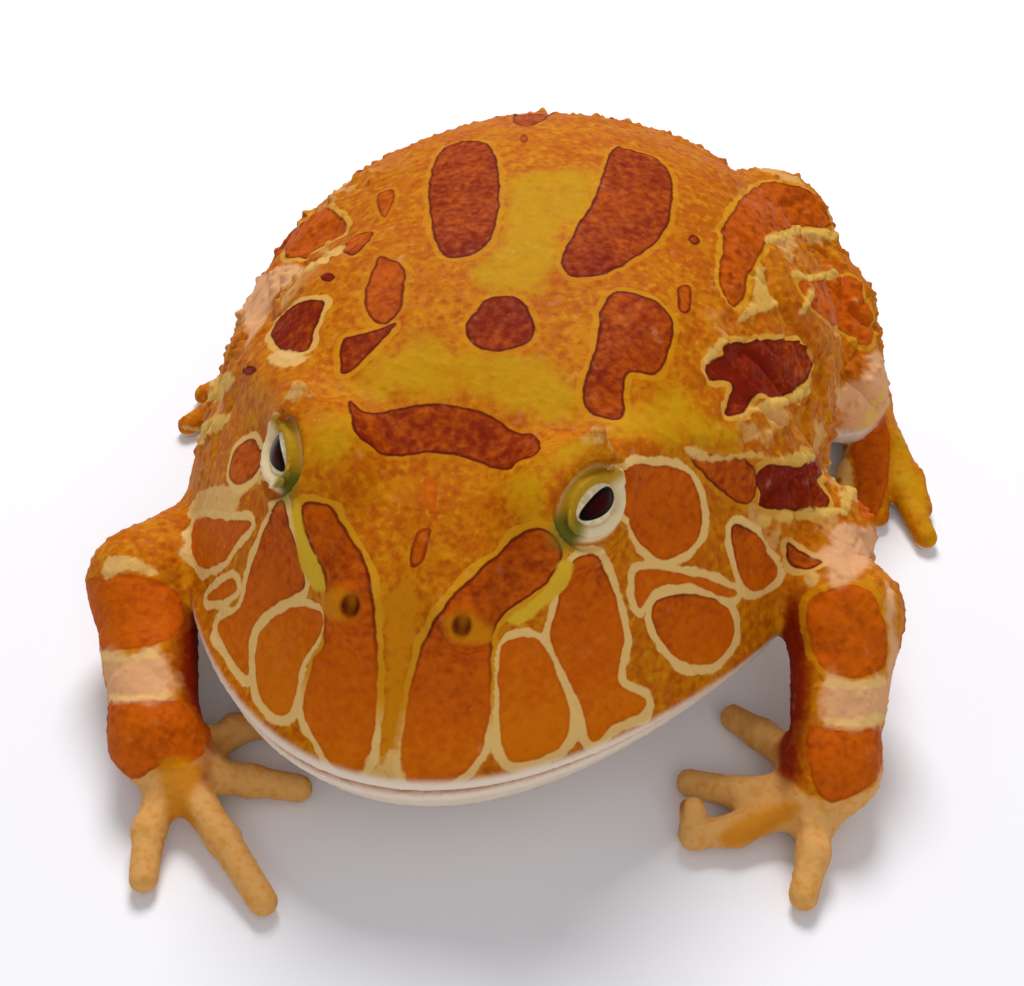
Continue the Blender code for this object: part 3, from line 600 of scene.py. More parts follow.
def open_eye(flesh, side):
    """Carve the opening between the lids, give it a rounded rim and fold the skin in round the lids."""
    slit, across, outward = eye_axes(side)
    centre = mirrored(EYE_CENTRE, side) + EYE_HOLE_OUT * outward
    hole = egg((0.0, 0.0, 0.0), EYE_HOLE_RADII)
    flesh.carve(turned(hole, centre, (slit, across, outward)), centre - 6.0, centre + 6.0, 0.6)
    rim = eye_ring(side, EYE_OPENING, EYE_RADIUS + 0.2)
    add_chain(flesh, rim, [LID_THICKNESS] * len(rim), 0.4)
    fold = eye_ring(side, LID_RING, EYE_RADIUS + 0.95)
    for start, end in zip(fold, fold[1:]):
        low, high = np.minimum(start, end) - 0.3, np.maximum(start, end) + 0.3
        flesh.carve(bone(start, end, 0.3, 0.3), low, high, 0.7)


def open_nostril(flesh, side):
    pit = mirrored(NOSTRIL_PIT, side)
    reach = max(NOSTRIL_PIT_RADII)
    flesh.carve(egg(pit, NOSTRIL_PIT_RADII), pit - reach, pit + reach, 0.4)


def add_arm(flesh, side, first_blend):
    add_chain(flesh, ARMS[side], ARM_RADII, 2.0, first_blend)
    for finger in FINGERS[side]:
        add_chain(flesh, finger, FINGER_RADII, 0.8, 1.6)


def add_thigh(flesh, side, first_blend):
    add_chain(flesh, THIGHS[side], THIGH_RADII[side], 3.0, first_blend)


def add_shank(flesh, side, first_blend):
    add_chain(flesh, SHANKS[side], SHANK_RADII[side], 2.0, first_blend)


def add_foot(flesh, side, first_blend):
    add_chain(flesh, FEET[side], FOOT_RADII, 1.5, first_blend)
    for toe in TOES[side]:
        add_chain(flesh, toe, TOE_RADII, 0.8, 1.2)


LIMBS = {"arm": (add_arm, 1.6), "thigh": (add_thigh, 3.0), "shank": (add_shank, 1.4), "foot": (add_foot, 1.0)}


def floor_height(x, y, z):
    """Height above the floor, as an array over all three axes."""
    return np.broadcast_arrays(x, y, z)[2]


def model_flesh():
    flesh = Flesh()
    add_core(flesh)
    for add_limb, first_blend in LIMBS.values():
        for side in (-1, 1):
            add_limb(flesh, side, first_blend)
    for side in (-1, 1):
        open_eye(flesh, side)
        open_nostril(flesh, side)
    flesh.carve(floor_height, (-FAR, -FAR, -6.0), (FAR, FAR, 1.0), 0.3)
    return flesh


def part_sheets(values):
    """Empty the grid points at which two sheets of skin would meet along an edge."""
    parted = False
    while not parted:
        parted = True
        for axis in range(3):
            b, c = [other for other in range(3) if other != axis]
            corners = []
            for step_b, step_c in ((0, 0), (1, 0), (1, 1), (0, 1)):
                window = [slice(None)] * 3
                window[b] = slice(1, None) if step_b else slice(None, -1)
                window[c] = slice(1, None) if step_c else slice(None, -1)
                corners.append(values[tuple(window)])
            first, second, third, fourth = (corner < 0.0 for corner in corners)
            meeting = (first == third) & (second == fourth) & (first != second)
            if meeting.any():
                parted = False
                for corner in corners:
                    corner[meeting & (corner < 0.0)] = EMPTIED


def surface_net(values):
    """One vertex in each cell that the skin crosses, and a quad round each crossed grid edge."""
    part_sheets(values)
    inside = values < 0.0
    shape = np.array(values.shape) - 1
    total = np.zeros((*shape, 3), dtype=np.float32)
    count = np.zeros(shape, dtype=np.int8)
    for axis in range(3):
        others = [other for other in range(3) if other != axis]
        for corner in range(4):
            start = [slice(0, size) for size in shape]
            for bit, other in enumerate(others):
                if corner >> bit & 1:
                    start[other] = slice(1, shape[other] + 1)
            end = list(start)
            end[axis] = slice(1, shape[axis] + 1)
            a, b = values[tuple(start)], values[tuple(end)]
            crossed = inside[tuple(start)] != inside[tuple(end)]
            total[..., axis][crossed] += a[crossed] / (a[crossed] - b[crossed])
            for bit, other in enumerate(others):
                total[..., other][crossed] += corner >> bit & 1
            count[crossed] += 1
    used = count > 0
    index = np.full(shape, -1, dtype=np.int32)
    index[used] = np.arange(used.sum())
    points = (np.argwhere(used) + total[used] / count[used][:, None]) * GRID_STEP + GRID_LOW
    quads = []
    for axis in range(3):
        b, c = [other for other in range(3) if other != axis]
        start = [slice(1, -1)] * 3
        start[axis] = slice(0, -1)
        end = list(start)
        end[axis] = slice(1, None)
        here, there = inside[tuple(start)], inside[tuple(end)]
        edges = np.argwhere(here != there)
        edges[:, b] += 1
        edges[:, c] += 1
        around = []
        for back_b, back_c in ((1, 1), (0, 1), (0, 0), (1, 0)):
            cell = edges.copy()
            cell[:, b] -= back_b
            cell[:, c] -= back_c
            around.append(index[tuple(cell.T)])
        quad = np.stack(around, axis=1)
        leaving = here[here != there]
        flip = leaving if axis == 1 else ~leaving
        quad[flip] = quad[flip][:, ::-1]
        quads.append(quad)
    return points, np.concatenate(quads)


def new_piece(name, points, quads):
    """Mesh object from arrays of points and quads."""
    mesh = bpy.data.meshes.new(name)
    mesh.vertices.add(len(points))
    mesh.vertices.foreach_set("co", np.ascontiguousarray(points, dtype=np.float32).ravel())
    mesh.loops.add(quads.size)
    mesh.loops.foreach_set("vertex_index", np.ascontiguousarray(quads, dtype=np.int32).ravel())
    mesh.polygons.add(len(quads))
    mesh.polygons.foreach_set("loop_start", np.arange(0, quads.size, 4, dtype=np.int32))
    mesh.update(calc_edges=True)
    piece = bpy.data.objects.new(name, mesh)
    bpy.context.scene.collection.objects.link(piece)
    return piece


def split_quads(points, quads):
    """Split every quad into four, with new points in the middle of each edge and each quad."""
    ends = np.stack((quads, np.roll(quads, -1, axis=1)), axis=2).reshape(-1, 2)
    ends.sort(axis=1)
    keys, first, number = np.unique(ends[:, 0].astype(np.int64) * len(points) + ends[:, 1],
                                    return_index=True, return_inverse=True)
    edge_middles = points[ends[first]].mean(axis=1)
    face_middles = points[quads].mean(axis=1)
    edge = number.reshape(-1, 4) + len(points)
    face = np.arange(len(quads)) + len(points) + len(keys)
    parts = [np.stack((quads[:, i], edge[:, i], face, edge[:, i - 1]), axis=1) for i in range(4)]
    return np.concatenate((points, edge_middles, face_middles)), np.concatenate(parts)


def vertex_normals(mesh):
    normals = np.empty(len(mesh.vertices) * 3, dtype=np.float32)
    mesh.vertex_normals.foreach_get("vector", normals)
    return normals.reshape(-1, 3).astype(float)


def set_points(mesh, points):
    mesh.vertices.foreach_set("co", points.astype(np.float32).ravel())
    mesh.update()


def set_field(mesh, name, values):
    """Store one number a vertex for the material to read."""
    attribute = mesh.attributes.new(name, "FLOAT", "POINT")
    attribute.data.foreach_set("value", values.astype(np.float32))


def hashed(cells, seed):
    """Repeatable random number from 0 to 1 for each whole-number cell."""
    mixed = cells @ np.array((127.1, 311.7, 74.7)) + seed * 17.3
    return np.modf(np.abs(np.sin(mixed) * 43758.5453))[0]


def pebbles(points, spacing, seed):
    """Distance from each point to the nearest scattered granule, and that granule's random number."""
    scaled = points / spacing
    home = np.floor(scaled)
    nearest = np.full(len(points), 9.0)
    chance = np.zeros(len(points))
    for step in itertools.product((-1, 0, 1), repeat=3):
        cell = home + step
        middle = cell + np.stack([hashed(cell, seed + axis) for axis in range(3)], axis=1)
        gap = np.linalg.norm(scaled - middle, axis=1)
        closer = gap < nearest
        nearest[closer] = gap[closer]
        chance[closer] = hashed(cell[closer], seed + 7)
    return nearest * spacing, chance


def domes(points, height, spacing, radius, share, seed):
    """Scattered round bumps of the given heights; the share says how many of the granules rise."""
    relief = np.zeros(len(points))
    here = np.flatnonzero(height > 0.02)
    gap, chance = pebbles(points[here], spacing, seed)
    size = radius * (0.6 + 0.4 * np.modf(chance * 997.0)[0])
    dome = np.clip(1.0 - (gap / size) ** 2, 0.0, 1.0) ** 1.5
    relief[here] = height[here] * np.where(chance < share, dome, 0.0)
    return relief


def clouds(points, size, seed):
    """Smooth noise from 0 to 1 with features about the given size."""
    scaled = points / size
    home = np.floor(scaled)
    share = scaled - home
    share = share * share * (3.0 - 2.0 * share)
    total = np.zeros(len(points))
    for corner in itertools.product((0, 1), repeat=3):
        weight = np.prod(np.where(np.array(corner) == 1, share, 1.0 - share), axis=1)
        total += weight * hashed(home + corner, seed)
    return total


def creases(points, size, width, seed):
    """1 along winding creases about the given size apart, 0 away from them."""
    gap = (clouds(points, size, seed) - 0.5) * size
    return np.exp(-((gap / width) ** 2))


def camera_axes():
    """The camera's right, up and backward directions."""
    turn, tilt = CAMERA_TURN, CAMERA_TILT
    back = np.array((math.sin(turn) * math.cos(tilt), -math.cos(turn) * math.cos(tilt), math.sin(tilt)))
    right = np.array((math.cos(turn), math.sin(turn), 0.0))
    return right, np.cross(back, right), back


def laid_on_skin(flesh, pixels):
    """Points of the skin behind pixels of the photograph; a ray that misses takes the nearest skin."""
    right, up, back = camera_axes()
    pixels = np.array(pixels, dtype=float)
    sideways = (pixels[:, 0] - PHOTO_WIDTH / 2) / FOCAL_PIXELS
    upward = (PHOTO_HEIGHT / 2 - pixels[:, 1]) / FOCAL_PIXELS
    rays = -back + sideways[:, None] * right + upward[:, None] * up
    rays /= np.linalg.norm(rays, axis=1, keepdims=True)
    start, end, step = 105.0, 250.0, 1.0
    travel = np.full(len(rays), start)
    best = np.full(len(rays), FAR)
    best_travel = travel.copy()
    going = np.ones(len(rays), dtype=bool)
    for _ in range(int((end - start) / step * 1.5)):
        value = np.full(len(rays), FAR)
        value[going] = flesh.at(CAMERA_PLACE + travel[going, None] * rays[going])
        closer = going & (value < best)
        best[closer] = value[closer]
        best_travel[closer] = travel[closer]
        going &= (value > 0.02) & (travel < end)
        travel[going] += np.clip(0.8 * value[going], 0.05, step)
    points = CAMERA_PLACE + best_travel[:, None] * rays
    for _ in range(3):
        points -= flesh.at(points)[:, None] * flesh.normals(points)
    return points


def rounded(outline):
    """Closed smooth curve through the points of an outline."""
    outline = np.array(outline, dtype=float)
    before, after, beyond = (np.roll(outline, shift, axis=0) for shift in (1, -1, -2))
    curve = []
    for share in np.arange(OUTLINE_STEPS) / OUTLINE_STEPS:
        a = outline * 2.0
        b = (after - before) * share
        c = (2.0 * before - 5.0 * outline + 4.0 * after - beyond) * share**2
        d = (3.0 * outline - before - 3.0 * after + beyond) * share**3
        curve.append((a + b + c + d) / 2.0)
    return np.stack(curve, axis=1).reshape(-1, outline.shape[1])


def depth_inside(points, outline):
    """Signed distance of points to a closed outline in a plane, positive inside."""
    nearest = np.full(len(points), 1e9)
    inside = np.zeros(len(points), dtype=bool)
    for a, b in zip(outline, np.roll(outline, -1, axis=0)):
        run, offset = b - a, points - a
        share = np.clip(offset @ run / max(run @ run, 1e-12), 0.0, 1.0)
        nearest = np.minimum(nearest, np.linalg.norm(offset - share[:, None] * run, axis=1))
        crosses = (a[1] > points[:, 1]) != (b[1] > points[:, 1])
        rise = b[1] - a[1] if b[1] != a[1] else 1e-12
        meets = a[0] + (points[:, 1] - a[1]) * (b[0] - a[0]) / rise
        inside ^= crosses & (points[:, 0] < meets)
    return np.where(inside, nearest, -nearest)


def edges_on_skin(flesh, outlines):
    """The smooth outlines laid on the skin, all along one set of rays."""
    curves = [rounded(outline) for outline in outlines]
    ends = np.cumsum([len(curve) for curve in curves])
    return np.split(laid_on_skin(flesh, np.concatenate(curves)), ends[:-1])


def mark_depth(flesh, points, edge):
    """Vertices near a mark, and how deep inside its edge each lies along the skin."""
    middle = edge.mean(axis=0)
    normal = unit(flesh.normals(edge).sum(axis=0))
    side = unit(np.cross(normal, (0.0, 0.0, 1.0) if abs(normal[2]) < 0.8 else (0.0, 1.0, 0.0)))
    plane = np.stack((side, np.cross(normal, side)), axis=1)
    heights = (edge - middle) @ normal
    reach = np.linalg.norm(edge - middle, axis=1).max() + MARK_REACH
    near = np.flatnonzero(np.linalg.norm(points - middle, axis=1) < reach)
    offset = points[near] - middle
    depth = depth_inside(offset @ plane, (edge - middle) @ plane)
    floor_depth = offset @ normal - heights.min() + MARK_DEPTH
    return near, np.minimum(depth, floor_depth)


def lay_marks(flesh, points):
    """Fields of the marks over the skin: depth inside a mark, its tone and the paleness round it."""
    depth = np.full(len(points), -MARK_REACH)
    tone = np.zeros(len(points))
    halo = np.zeros(len(points))
    edges = edges_on_skin(flesh, [outline for _, _, outline in MARKS.values()])
    for (mark_tone, mark_halo, _), edge in zip(MARKS.values(), edges):
        near, inside = mark_depth(flesh, points, edge)
        wins = inside > depth[near]
        chosen = near[wins]
        depth[chosen] = inside[wins]
        tone[chosen] = mark_tone
        halo[chosen] = mark_halo
    wobble = 3.0 * (clouds(points, 5.0, 21.0) - 0.5)
    for middle, reach in GUESSED_MARKS:
        inside = (1.0 - np.linalg.norm((points - middle) / reach, axis=1)) * min(reach) + wobble
        wins = inside > depth
        depth[wins] = inside[wins]
        tone[wins] = GUESSED_TONE
        halo[wins] = GUESSED_HALO
    return depth, tone, halo


def lay_tint(flesh, points, softness, outlines):
    field = np.zeros(len(points))
    for edge in edges_on_skin(flesh, outlines):
        near, inside = mark_depth(flesh, points, edge)
        field[near] = np.maximum(field[near], eased(inside, -softness, softness))
    return field


def above_mouth(points):
    """Height above the line of the mouth."""
    fall = (MOUTH_BACK_Z - MOUTH_FRONT_Z) / (MOUTH_CORNER_Y - SNOUT_Y)
    return points[:, 2] - (MOUTH_FRONT_Z + fall * (points[:, 1] - SNOUT_Y))


def lip_relief(above, lips):
    """Height of the lips and depth of the line between them."""
    swells = [height * np.exp(-(((above - middle) / reach) ** 2)) for height, middle, reach in LIP_RELIEF]
    return sum(swells) * lips


def lid_fields(points):
    """Where the lids' ring lies, its upper and inner half, and its front corner."""
    lid, upper, corner = (np.zeros(len(points)) for _ in range(3))
    for side in (-1, 1):
        u, v, w = (eye_axes(side) @ (points - mirrored(EYE_CENTRE, side)).T)
        ring = np.sqrt((u / LID_RING[0]) ** 2 + (v / LID_RING[1]) ** 2)
        here = eased(ring, 1.02, 0.9) * eased(w, 0.5, 1.5) * eased(w, 7.0, 6.0)
        lid = np.maximum(lid, here)
        upper = np.maximum(upper, here * eased(v - 0.25 * u, -0.9, 0.6))
        reach = np.linalg.norm(np.stack((u + 3.6, v + 0.4, w - 3.2)), axis=0)
        corner = np.maximum(corner, eased(reach, 2.3, 0.9))
    return {"lid": lid, "lid_upper": upper, "lid_corner": corner}


def limb_distances(points):
    """Distance of the points to each limb alone, the smaller of the two sides."""
    distances = {}
    for name, (add_limb, first_blend) in LIMBS.items():
        limb = Flesh()
        for side in (-1, 1):
            add_limb(limb, side, first_blend)
        distances[name] = limb.at(points)
    return distances


def skin_regions(points, normals):
    """Parts of the body, each 1 on it and 0 away from it."""
    x, y, z = points.T
    limbs = limb_distances(points)
    nearest_limb = np.min(list(limbs.values()), axis=0)
    leg = np.minimum(limbs["thigh"], np.minimum(limbs["shank"], limbs["foot"]))
    on_arm = 1.0 - eased(limbs["arm"], 0.0, 1.0)
    on_head = eased(nearest_limb, 0.5, 2.0) * eased(y, MOUTH_CORNER_Y + 10.0, MOUTH_CORNER_Y)
    back = eased(y, -18.0, -6.0) * eased(z, 5.0, 12.0)
    flank = back * np.maximum(eased(np.abs(x - TRUNK_CENTRE[0]), 13.0, 25.0), eased(y, 24.0, 36.0))
    neck_side = eased(np.abs(x), 20.0, 27.0) * eased(y, -26.0, -14.0) * eased(z, 14.0, 20.0)
    inner_side = -np.sign(x) * normals[:, 0] - 0.3 * normals[:, 2]
    underside = eased(normals[:, 2], -0.15, -0.6) * eased(z, 12.0, 7.0)
    return {
        "head": on_head,
        "arm": on_arm,
        "leg": 1.0 - eased(leg, 0.0, 1.5),
        "back": back,
        "flank": np.maximum(flank, neck_side),
        "fingers": on_arm * eased(z, 7.0, 4.5),
        # Painted shade: the inner side of the arms, turned to the body and the floor
        "inner_arm_shade": on_arm * eased(inner_side, 0.15, 0.7) * eased(z, 3.0, 5.0),
        "lips": on_head * eased(y, MOUTH_CORNER_Y + 2.0, MOUTH_CORNER_Y - 3.0),
        "belly": np.maximum(underside, eased(z, 7.0, 3.5) * eased(nearest_limb, 0.3, 1.0)),
    }


def skin_bumps(points, part):
    """Heights of the large granules alone, and of all granules, folds and lumps together."""
    arm, back, flank, plain = part["arm"], part["back"], part["flank"], 1.0 - part["fingers"]
    limb = np.maximum(arm, part["leg"])
    warts = domes(points, 0.15 * back + 0.4 * flank, *WARTS)
    grains = domes(points, (0.03 + 0.08 * back + 0.32 * flank) * plain, *GRAINS)
    fine = domes(points, (0.07 + 0.05 * limb) * (1.0 - 0.3 * part["fingers"]), *FINE_GRAINS)
    folds = creases(points, *WIDE_FOLDS) * (0.15 * arm + 0.6 * flank) * plain
    folds += creases(points, *NARROW_FOLDS) * (0.12 * arm + 0.25 * flank) * plain
    lumps = (clouds(points, 9.0, 4.0) - 0.5) * (0.4 * back + 0.8 * flank)
    return grains + warts, warts + grains + fine - folds + lumps


def round_spots(points, place, stretch, start, end):
    """A spot on each side of the head: 0 farther than start from its place, 1 nearer than end."""
    spots = []
    for side in (-1, 1):
        offset = (mirrored(place, side) - points) * stretch
        spots.append(eased(np.linalg.norm(offset, axis=1), start, end))
    return np.maximum(*spots)


def base_skin(flesh):
    """Fine mesh of the flesh, drawn onto its surface, and the mesh's points."""
    axes = [np.arange(a, b, GRID_STEP, dtype=np.float32) for a, b in zip(GRID_LOW, GRID_HIGH)]
    points, quads = split_quads(*surface_net(flesh.on_grid(axes)))
    skin = new_piece("frog_skin", points, quads)
    for _ in range(2):
        points -= 0.9 * flesh.at(points)[:, None] * vertex_normals(skin.data)
        set_points(skin.data, points)
    return skin, points


def make_skin(flesh):
    """The skin with its relief, and with the fields that its material reads."""
    skin, points = base_skin(flesh)
    normals = vertex_normals(skin.data)
    part = skin_regions(points, normals)
    above = above_mouth(points)
    depth, tone, halo = lay_marks(flesh, points)
    tints = {name: lay_tint(flesh, points, *tint) for name, tint in TINTS.items()}
    tints["cream"] = np.maximum(tints["cream"], 0.5 * round_spots(points, HORN[1], 1.0, 2.6, 1.0))
    # Painted shade: a dark spot in each nostril pit
    pit = round_spots(points, NOSTRIL_PIT, (1.3, 1.0, 1.1), 1.45, 1.1)
    lids = lid_fields(points)
    lips = part["lips"]
    wart, bumps = skin_bumps(points, part)
    ridges = tints["cream"] * part["flank"] * (0.05 + 0.3 * clouds(points, 1.1, 8.0))
    relief = bumps + ridges + lip_relief(above, lips)
    relief *= 1.0 - eased(points[:, 2], 1.5, 0.3)
    points += relief[:, None] * normals
    points[:, 2] = np.maximum(points[:, 2], 0.0)
    set_points(skin.data, points)
    _, y, z = points.T
    belly = part["belly"] * (1.0 - 0.8 * part["arm"])
    face_shade = 0.3 * eased(z, 17.0, 27.0) - 0.3 * eased(above, 9.0, 2.0)
    fields = {
        "mark": depth,
        "tone": tone + part["head"] * face_shade,
        "halo": halo,
        **tints,
        "pale": np.maximum(belly, lips * eased(above, 1.5, 0.9)),
        "pit": pit,
        "face": eased(y, -8.0, -24.0) * part["head"],
        "lip_line": lips * eased(np.abs(above), 0.45, 0.2),
        "near_lips": lips * eased(above, 8.0, 3.0),
        "fingers": part["fingers"],
        "inner_arm_shade": part["inner_arm_shade"],
        "flank": part["flank"],
        # Painted shade: the back is darkened where it faces up
        "back": part["back"] * eased(normals[:, 2], 0.2, 0.7),
        "wart": wart,
        **lids,
    }
    for name, values in fields.items():
        set_field(skin.data, name, values)
    return skin


class Recipe:
    """Short way to write a material's nodes."""

    def __init__(self, name):
        self.material = bpy.data.materials.new(name)
        self.material.use_nodes = True
        self.tree = self.material.node_tree
        self.shader = self.tree.nodes["Principled BSDF"]
        place = self.tree.nodes.new("ShaderNodeTexCoord")
        self.place = self.scaled(place.outputs["Object"], 1.0 / MM)

    def scaled(self, vector, factor):
        node = self.tree.nodes.new("ShaderNodeVectorMath")
        node.operation = "SCALE"
        node.inputs["Scale"].default_value = factor
        self.tree.links.new(vector, node.inputs[0])
        return node.outputs[0]

    def give(self, socket, value):
        """Link an output, or set a plain value."""
        if isinstance(value, bpy.types.NodeSocket):
            self.tree.links.new(value, socket)
        elif isinstance(value, tuple):
            socket.default_value = (*value, 1.0)
        else:
            socket.default_value = value

    def field(self, name):
        node = self.tree.nodes.new("ShaderNodeAttribute")
        node.attribute_name = name
        return node.outputs["Fac"]

    def noise(self, size, detail=3.0, seed=0.0):
        """Noise from 0 to 1 with features about the given size in millimetres."""
        node = self.tree.nodes.new("ShaderNodeTexNoise")
        node.noise_dimensions = "4D"
        self.give(node.inputs["Vector"], self.place)
        node.inputs["Scale"].default_value = 1.0 / size
        node.inputs["Detail"].default_value = detail
        node.inputs["W"].default_value = seed
        return node.outputs["Fac"]

    def cells(self, size):
        """Distance to the nearest of scattered points, 0 on each, with cells about the given size."""
        node = self.tree.nodes.new("ShaderNodeTexVoronoi")
        self.give(node.inputs["Vector"], self.place)
        node.inputs["Scale"].default_value = 1.0 / size
        return node.outputs["Distance"]

    def math(self, operation, *values):
        node = self.tree.nodes.new("ShaderNodeMath")
        node.operation = operation
        for socket, value in zip(node.inputs, values):
            self.give(socket, value)
        return node.outputs[0]

    def shifted(self, value, noise, strength):
        """A value shifted up and down by noise, so that its edges wander."""
        return self.math("MULTIPLY_ADD", self.math("SUBTRACT", noise, 0.5), strength, value)

    def field_with_noise(self, name, noise, strength):
        return self.shifted(self.field(name), noise, strength)

    def ramp(self, value, start, end, low=0.0, high=1.0):
        """Smooth change from low at start to high at end."""
        node = self.tree.nodes.new("ShaderNodeMapRange")
        node.interpolation_type = "SMOOTHSTEP"
        self.give(node.inputs["Value"], value)
        node.inputs["From Min"].default_value = start
        node.inputs["From Max"].default_value = end
        node.inputs["To Min"].default_value = low
        node.inputs["To Max"].default_value = high
        return node.outputs["Result"]

    def mix(self, share, a, b):
        node = self.tree.nodes.new("ShaderNodeMix")
        node.data_type = "RGBA"
        self.give(node.inputs[0], share)
        self.give(node.inputs[6], a)
        self.give(node.inputs[7], b)
        return node.outputs[2]

    def layered(self, colour, layers):
        """Colours one over another, each up to its share where its value runs from start to end."""
        for over, value, start, end, share in layers:
            colour = self.mix(self.ramp(value, start, end, 0.0, share), colour, over)
        return colour

    def bump(self, height, strength, distance, normal=None):
        node = self.tree.nodes.new("ShaderNodeBump")
        node.inputs["Strength"].default_value = strength
        node.inputs["Distance"].default_value = distance * MM
        self.give(node.inputs["Height"], height)
        if normal is not None:
            self.give(node.inputs["Normal"], normal)
        return node.outputs["Normal"]


def ground_colour(recipe, mottle, specks, grit):
    """Orange skin with its grain, yellow fields, streaked flanks, pale fingers, painted shade on the
    upward-facing back and painted shade on the inner side of the arms.
    """
    yellow = recipe.field_with_noise("yellow", recipe.noise(2.2, 5.0, 23.0), 1.8)
    ground = recipe.mix(recipe.ramp(mottle, 0.35, 0.65), ORANGE, AMBER)
    ground = recipe.layered(ground, (
        (RUST, recipe.noise(6.0, 3.0, 5.0), 0.52, 0.68, 0.45),
        (GOLD, specks, 0.56, 0.75, 0.5),
        (RUST, specks, 0.44, 0.28, 0.6),
        (RUST, recipe.cells(1.3), 0.45, 0.2, 0.4),
        (RUST, recipe.field("face"), 0.0, 1.0, 0.15),
        # painted shade on the upward-facing back
        (RUST, recipe.field("back"), 0.0, 1.0, 0.25),
        (RUST, grit, 0.5, 0.33, 0.75),
        (GOLD, grit, 0.53, 0.7, 0.7),
        (YELLOW, yellow, 0.1, 1.1, 0.8),
    ))
    streaks = recipe.ramp(recipe.noise(4.5, 5.0, 13.0), 0.55, 0.62)
    streaks = recipe.math("MULTIPLY", streaks, recipe.ramp(recipe.field("flank"), 0.3, 1.0, 0.0, 0.55))
    ground = recipe.mix(streaks, ground, CREAM)
    fingers = recipe.ramp(recipe.field_with_noise("fingers", specks, 0.4), 0.35, 0.65)
    ground = recipe.mix(fingers, ground, recipe.mix(recipe.ramp(grit, 0.55, 0.3, 0.0, 0.5), TAN, AMBER))
    # Painted shade over the inner side of the arms
    return recipe.mix(recipe.field("inner_arm_shade"), ground, SHADED_RED)


def with_marks(recipe, ground, mottle, specks, grit):
    """The dark marks with a darker rim inside their edge, and the pale band round them."""
    depth = recipe.field_with_noise("mark", recipe.noise(1.8, 4.0, 7.0), 0.7)
    halo = recipe.math("MULTIPLY_ADD", recipe.field("near_lips"), 0.5, recipe.field("halo"))
    width = recipe.math("MULTIPLY_ADD", halo, 0.3, 0.4)
    wander = recipe.shifted(depth, recipe.noise(2.2, 4.0, 17.0), 1.3)
    band = recipe.ramp(recipe.math("DIVIDE", wander, width), -1.25, -0.95)
    band = recipe.math("MULTIPLY", band, recipe.ramp(halo, 0.0, 0.5))
    ground = recipe.mix(band, ground, recipe.mix(recipe.ramp(halo, 0.35, 0.85), GOLD, CREAM))
    tone = recipe.field_with_noise("tone", mottle, 0.8)
    tone = recipe.shifted(recipe.shifted(tone, specks, 0.8), grit, 1.0)
    inside = recipe.mix(recipe.ramp(tone, 0.0, 1.0), MARK_LIGHT, MARK_DARK)
    inside = recipe.mix(recipe.ramp(tone, 0.1, -0.5, 0.0, 0.9), inside, MARK_PALE)
    edge = recipe.ramp(recipe.field("tone"), 0.1, 0.45, 0.1, 0.85)
    inside = recipe.mix(recipe.math("MULTIPLY", recipe.ramp(depth, 0.42, 0.12), edge), inside, RIM_AND_NOSTRIL_SHADE)
    return recipe.mix(recipe.ramp(depth, -0.08, 0.1), ground, inside)


def with_patches(recipe, colour, grit):
    """Stripes, blushes and pale ridges over the marks, then painted shade in the nostrils, lids, belly and
    lips.
    """
    blush = recipe.field_with_noise("pink", recipe.noise(1.6, 5.0, 31.0), 1.8)
    ragged = recipe.field_with_noise("cream", recipe.noise(0.9, 3.0, 19.0), 1.8)
    ridge = recipe.mix(0.5, CREAM, recipe.mix(recipe.field("flank"), CREAM, STRIPE))
    colour = recipe.layered(colour, (
        (STRIPE, recipe.field_with_noise("gold", grit, 1.0), 0.2, 0.9, 1.0),
        (AMBER, recipe.field_with_noise("amber", grit, 1.2), 0.1, 1.0, 0.85),
        (PINK, blush, 0.2, 0.9, 0.8),
        (ridge, ragged, 0.3, 0.9, 0.8),
        (CREAM, recipe.field("wart"), 0.32, 0.66, 0.3),
    ))
    corner = recipe.field("lid_corner")
    lid = recipe.mix(recipe.field("lid_upper"), LID_WHITE, LID_YELLOW)
    lid = recipe.mix(corner, lid, LID_GREEN)
    # Painted shade in the nostril pits
    colour = recipe.mix(recipe.field("pit"), colour, RIM_AND_NOSTRIL_SHADE)
    colour = recipe.mix(corner, colour, LID_GREEN)
    for name, over in (("lid", lid), ("pale", PALE), ("lip_line", LIP_LINE)):
        colour = recipe.mix(recipe.field(name), colour, over)
    return colour


def skin_material():
    recipe = Recipe("frog_skin")
    mottle = recipe.noise(3.2, 5.0)
    specks = recipe.noise(0.7, 4.0, 3.0)
    grit = recipe.noise(0.75, 2.0, 29.0)
    ground = ground_colour(recipe, mottle, specks, grit)
    colour = with_patches(recipe, with_marks(recipe, ground, mottle, specks, grit), grit)
    shader = recipe.shader
    recipe.give(shader.inputs["Base Color"], colour)
    recipe.give(shader.inputs["Roughness"], recipe.ramp(specks, 0.3, 0.7, *SKIN_ROUGHNESS))
    shader.inputs["Specular IOR Level"].default_value = SKIN_SPECULAR
    fine = recipe.bump(recipe.noise(0.35, 3.0, 11.0), 0.4, 0.08)
    recipe.give(shader.inputs["Normal"], recipe.bump(specks, 0.4, 0.15, fine))
    return recipe.material


def eye_material():
    """Dark pupil with a black edge on a streaked cream iris, smooth and wet."""
    recipe = Recipe("frog_eye")
    pupil = recipe.field("pupil")
    iris = recipe.mix(recipe.ramp(recipe.noise(0.35, 4.0, 2.0), 0.35, 0.7), IRIS_CREAM, IRIS_TAN)
    iris = recipe.mix(recipe.ramp(pupil, 1.7, 2.6), iris, IRIS_EDGE)
    dark = recipe.mix(recipe.ramp(pupil, 0.5, 0.9), PUPIL_MIDDLE, PUPIL_EDGE)
    colour = recipe.mix(recipe.ramp(pupil, 0.97, 1.06), dark, iris)
    shader = recipe.shader
    recipe.give(shader.inputs["Base Color"], colour)
    shader.inputs["Roughness"].default_value = EYE_ROUGHNESS
    shader.inputs["Specular IOR Level"].default_value = EYE_SPECULAR
    return recipe.material


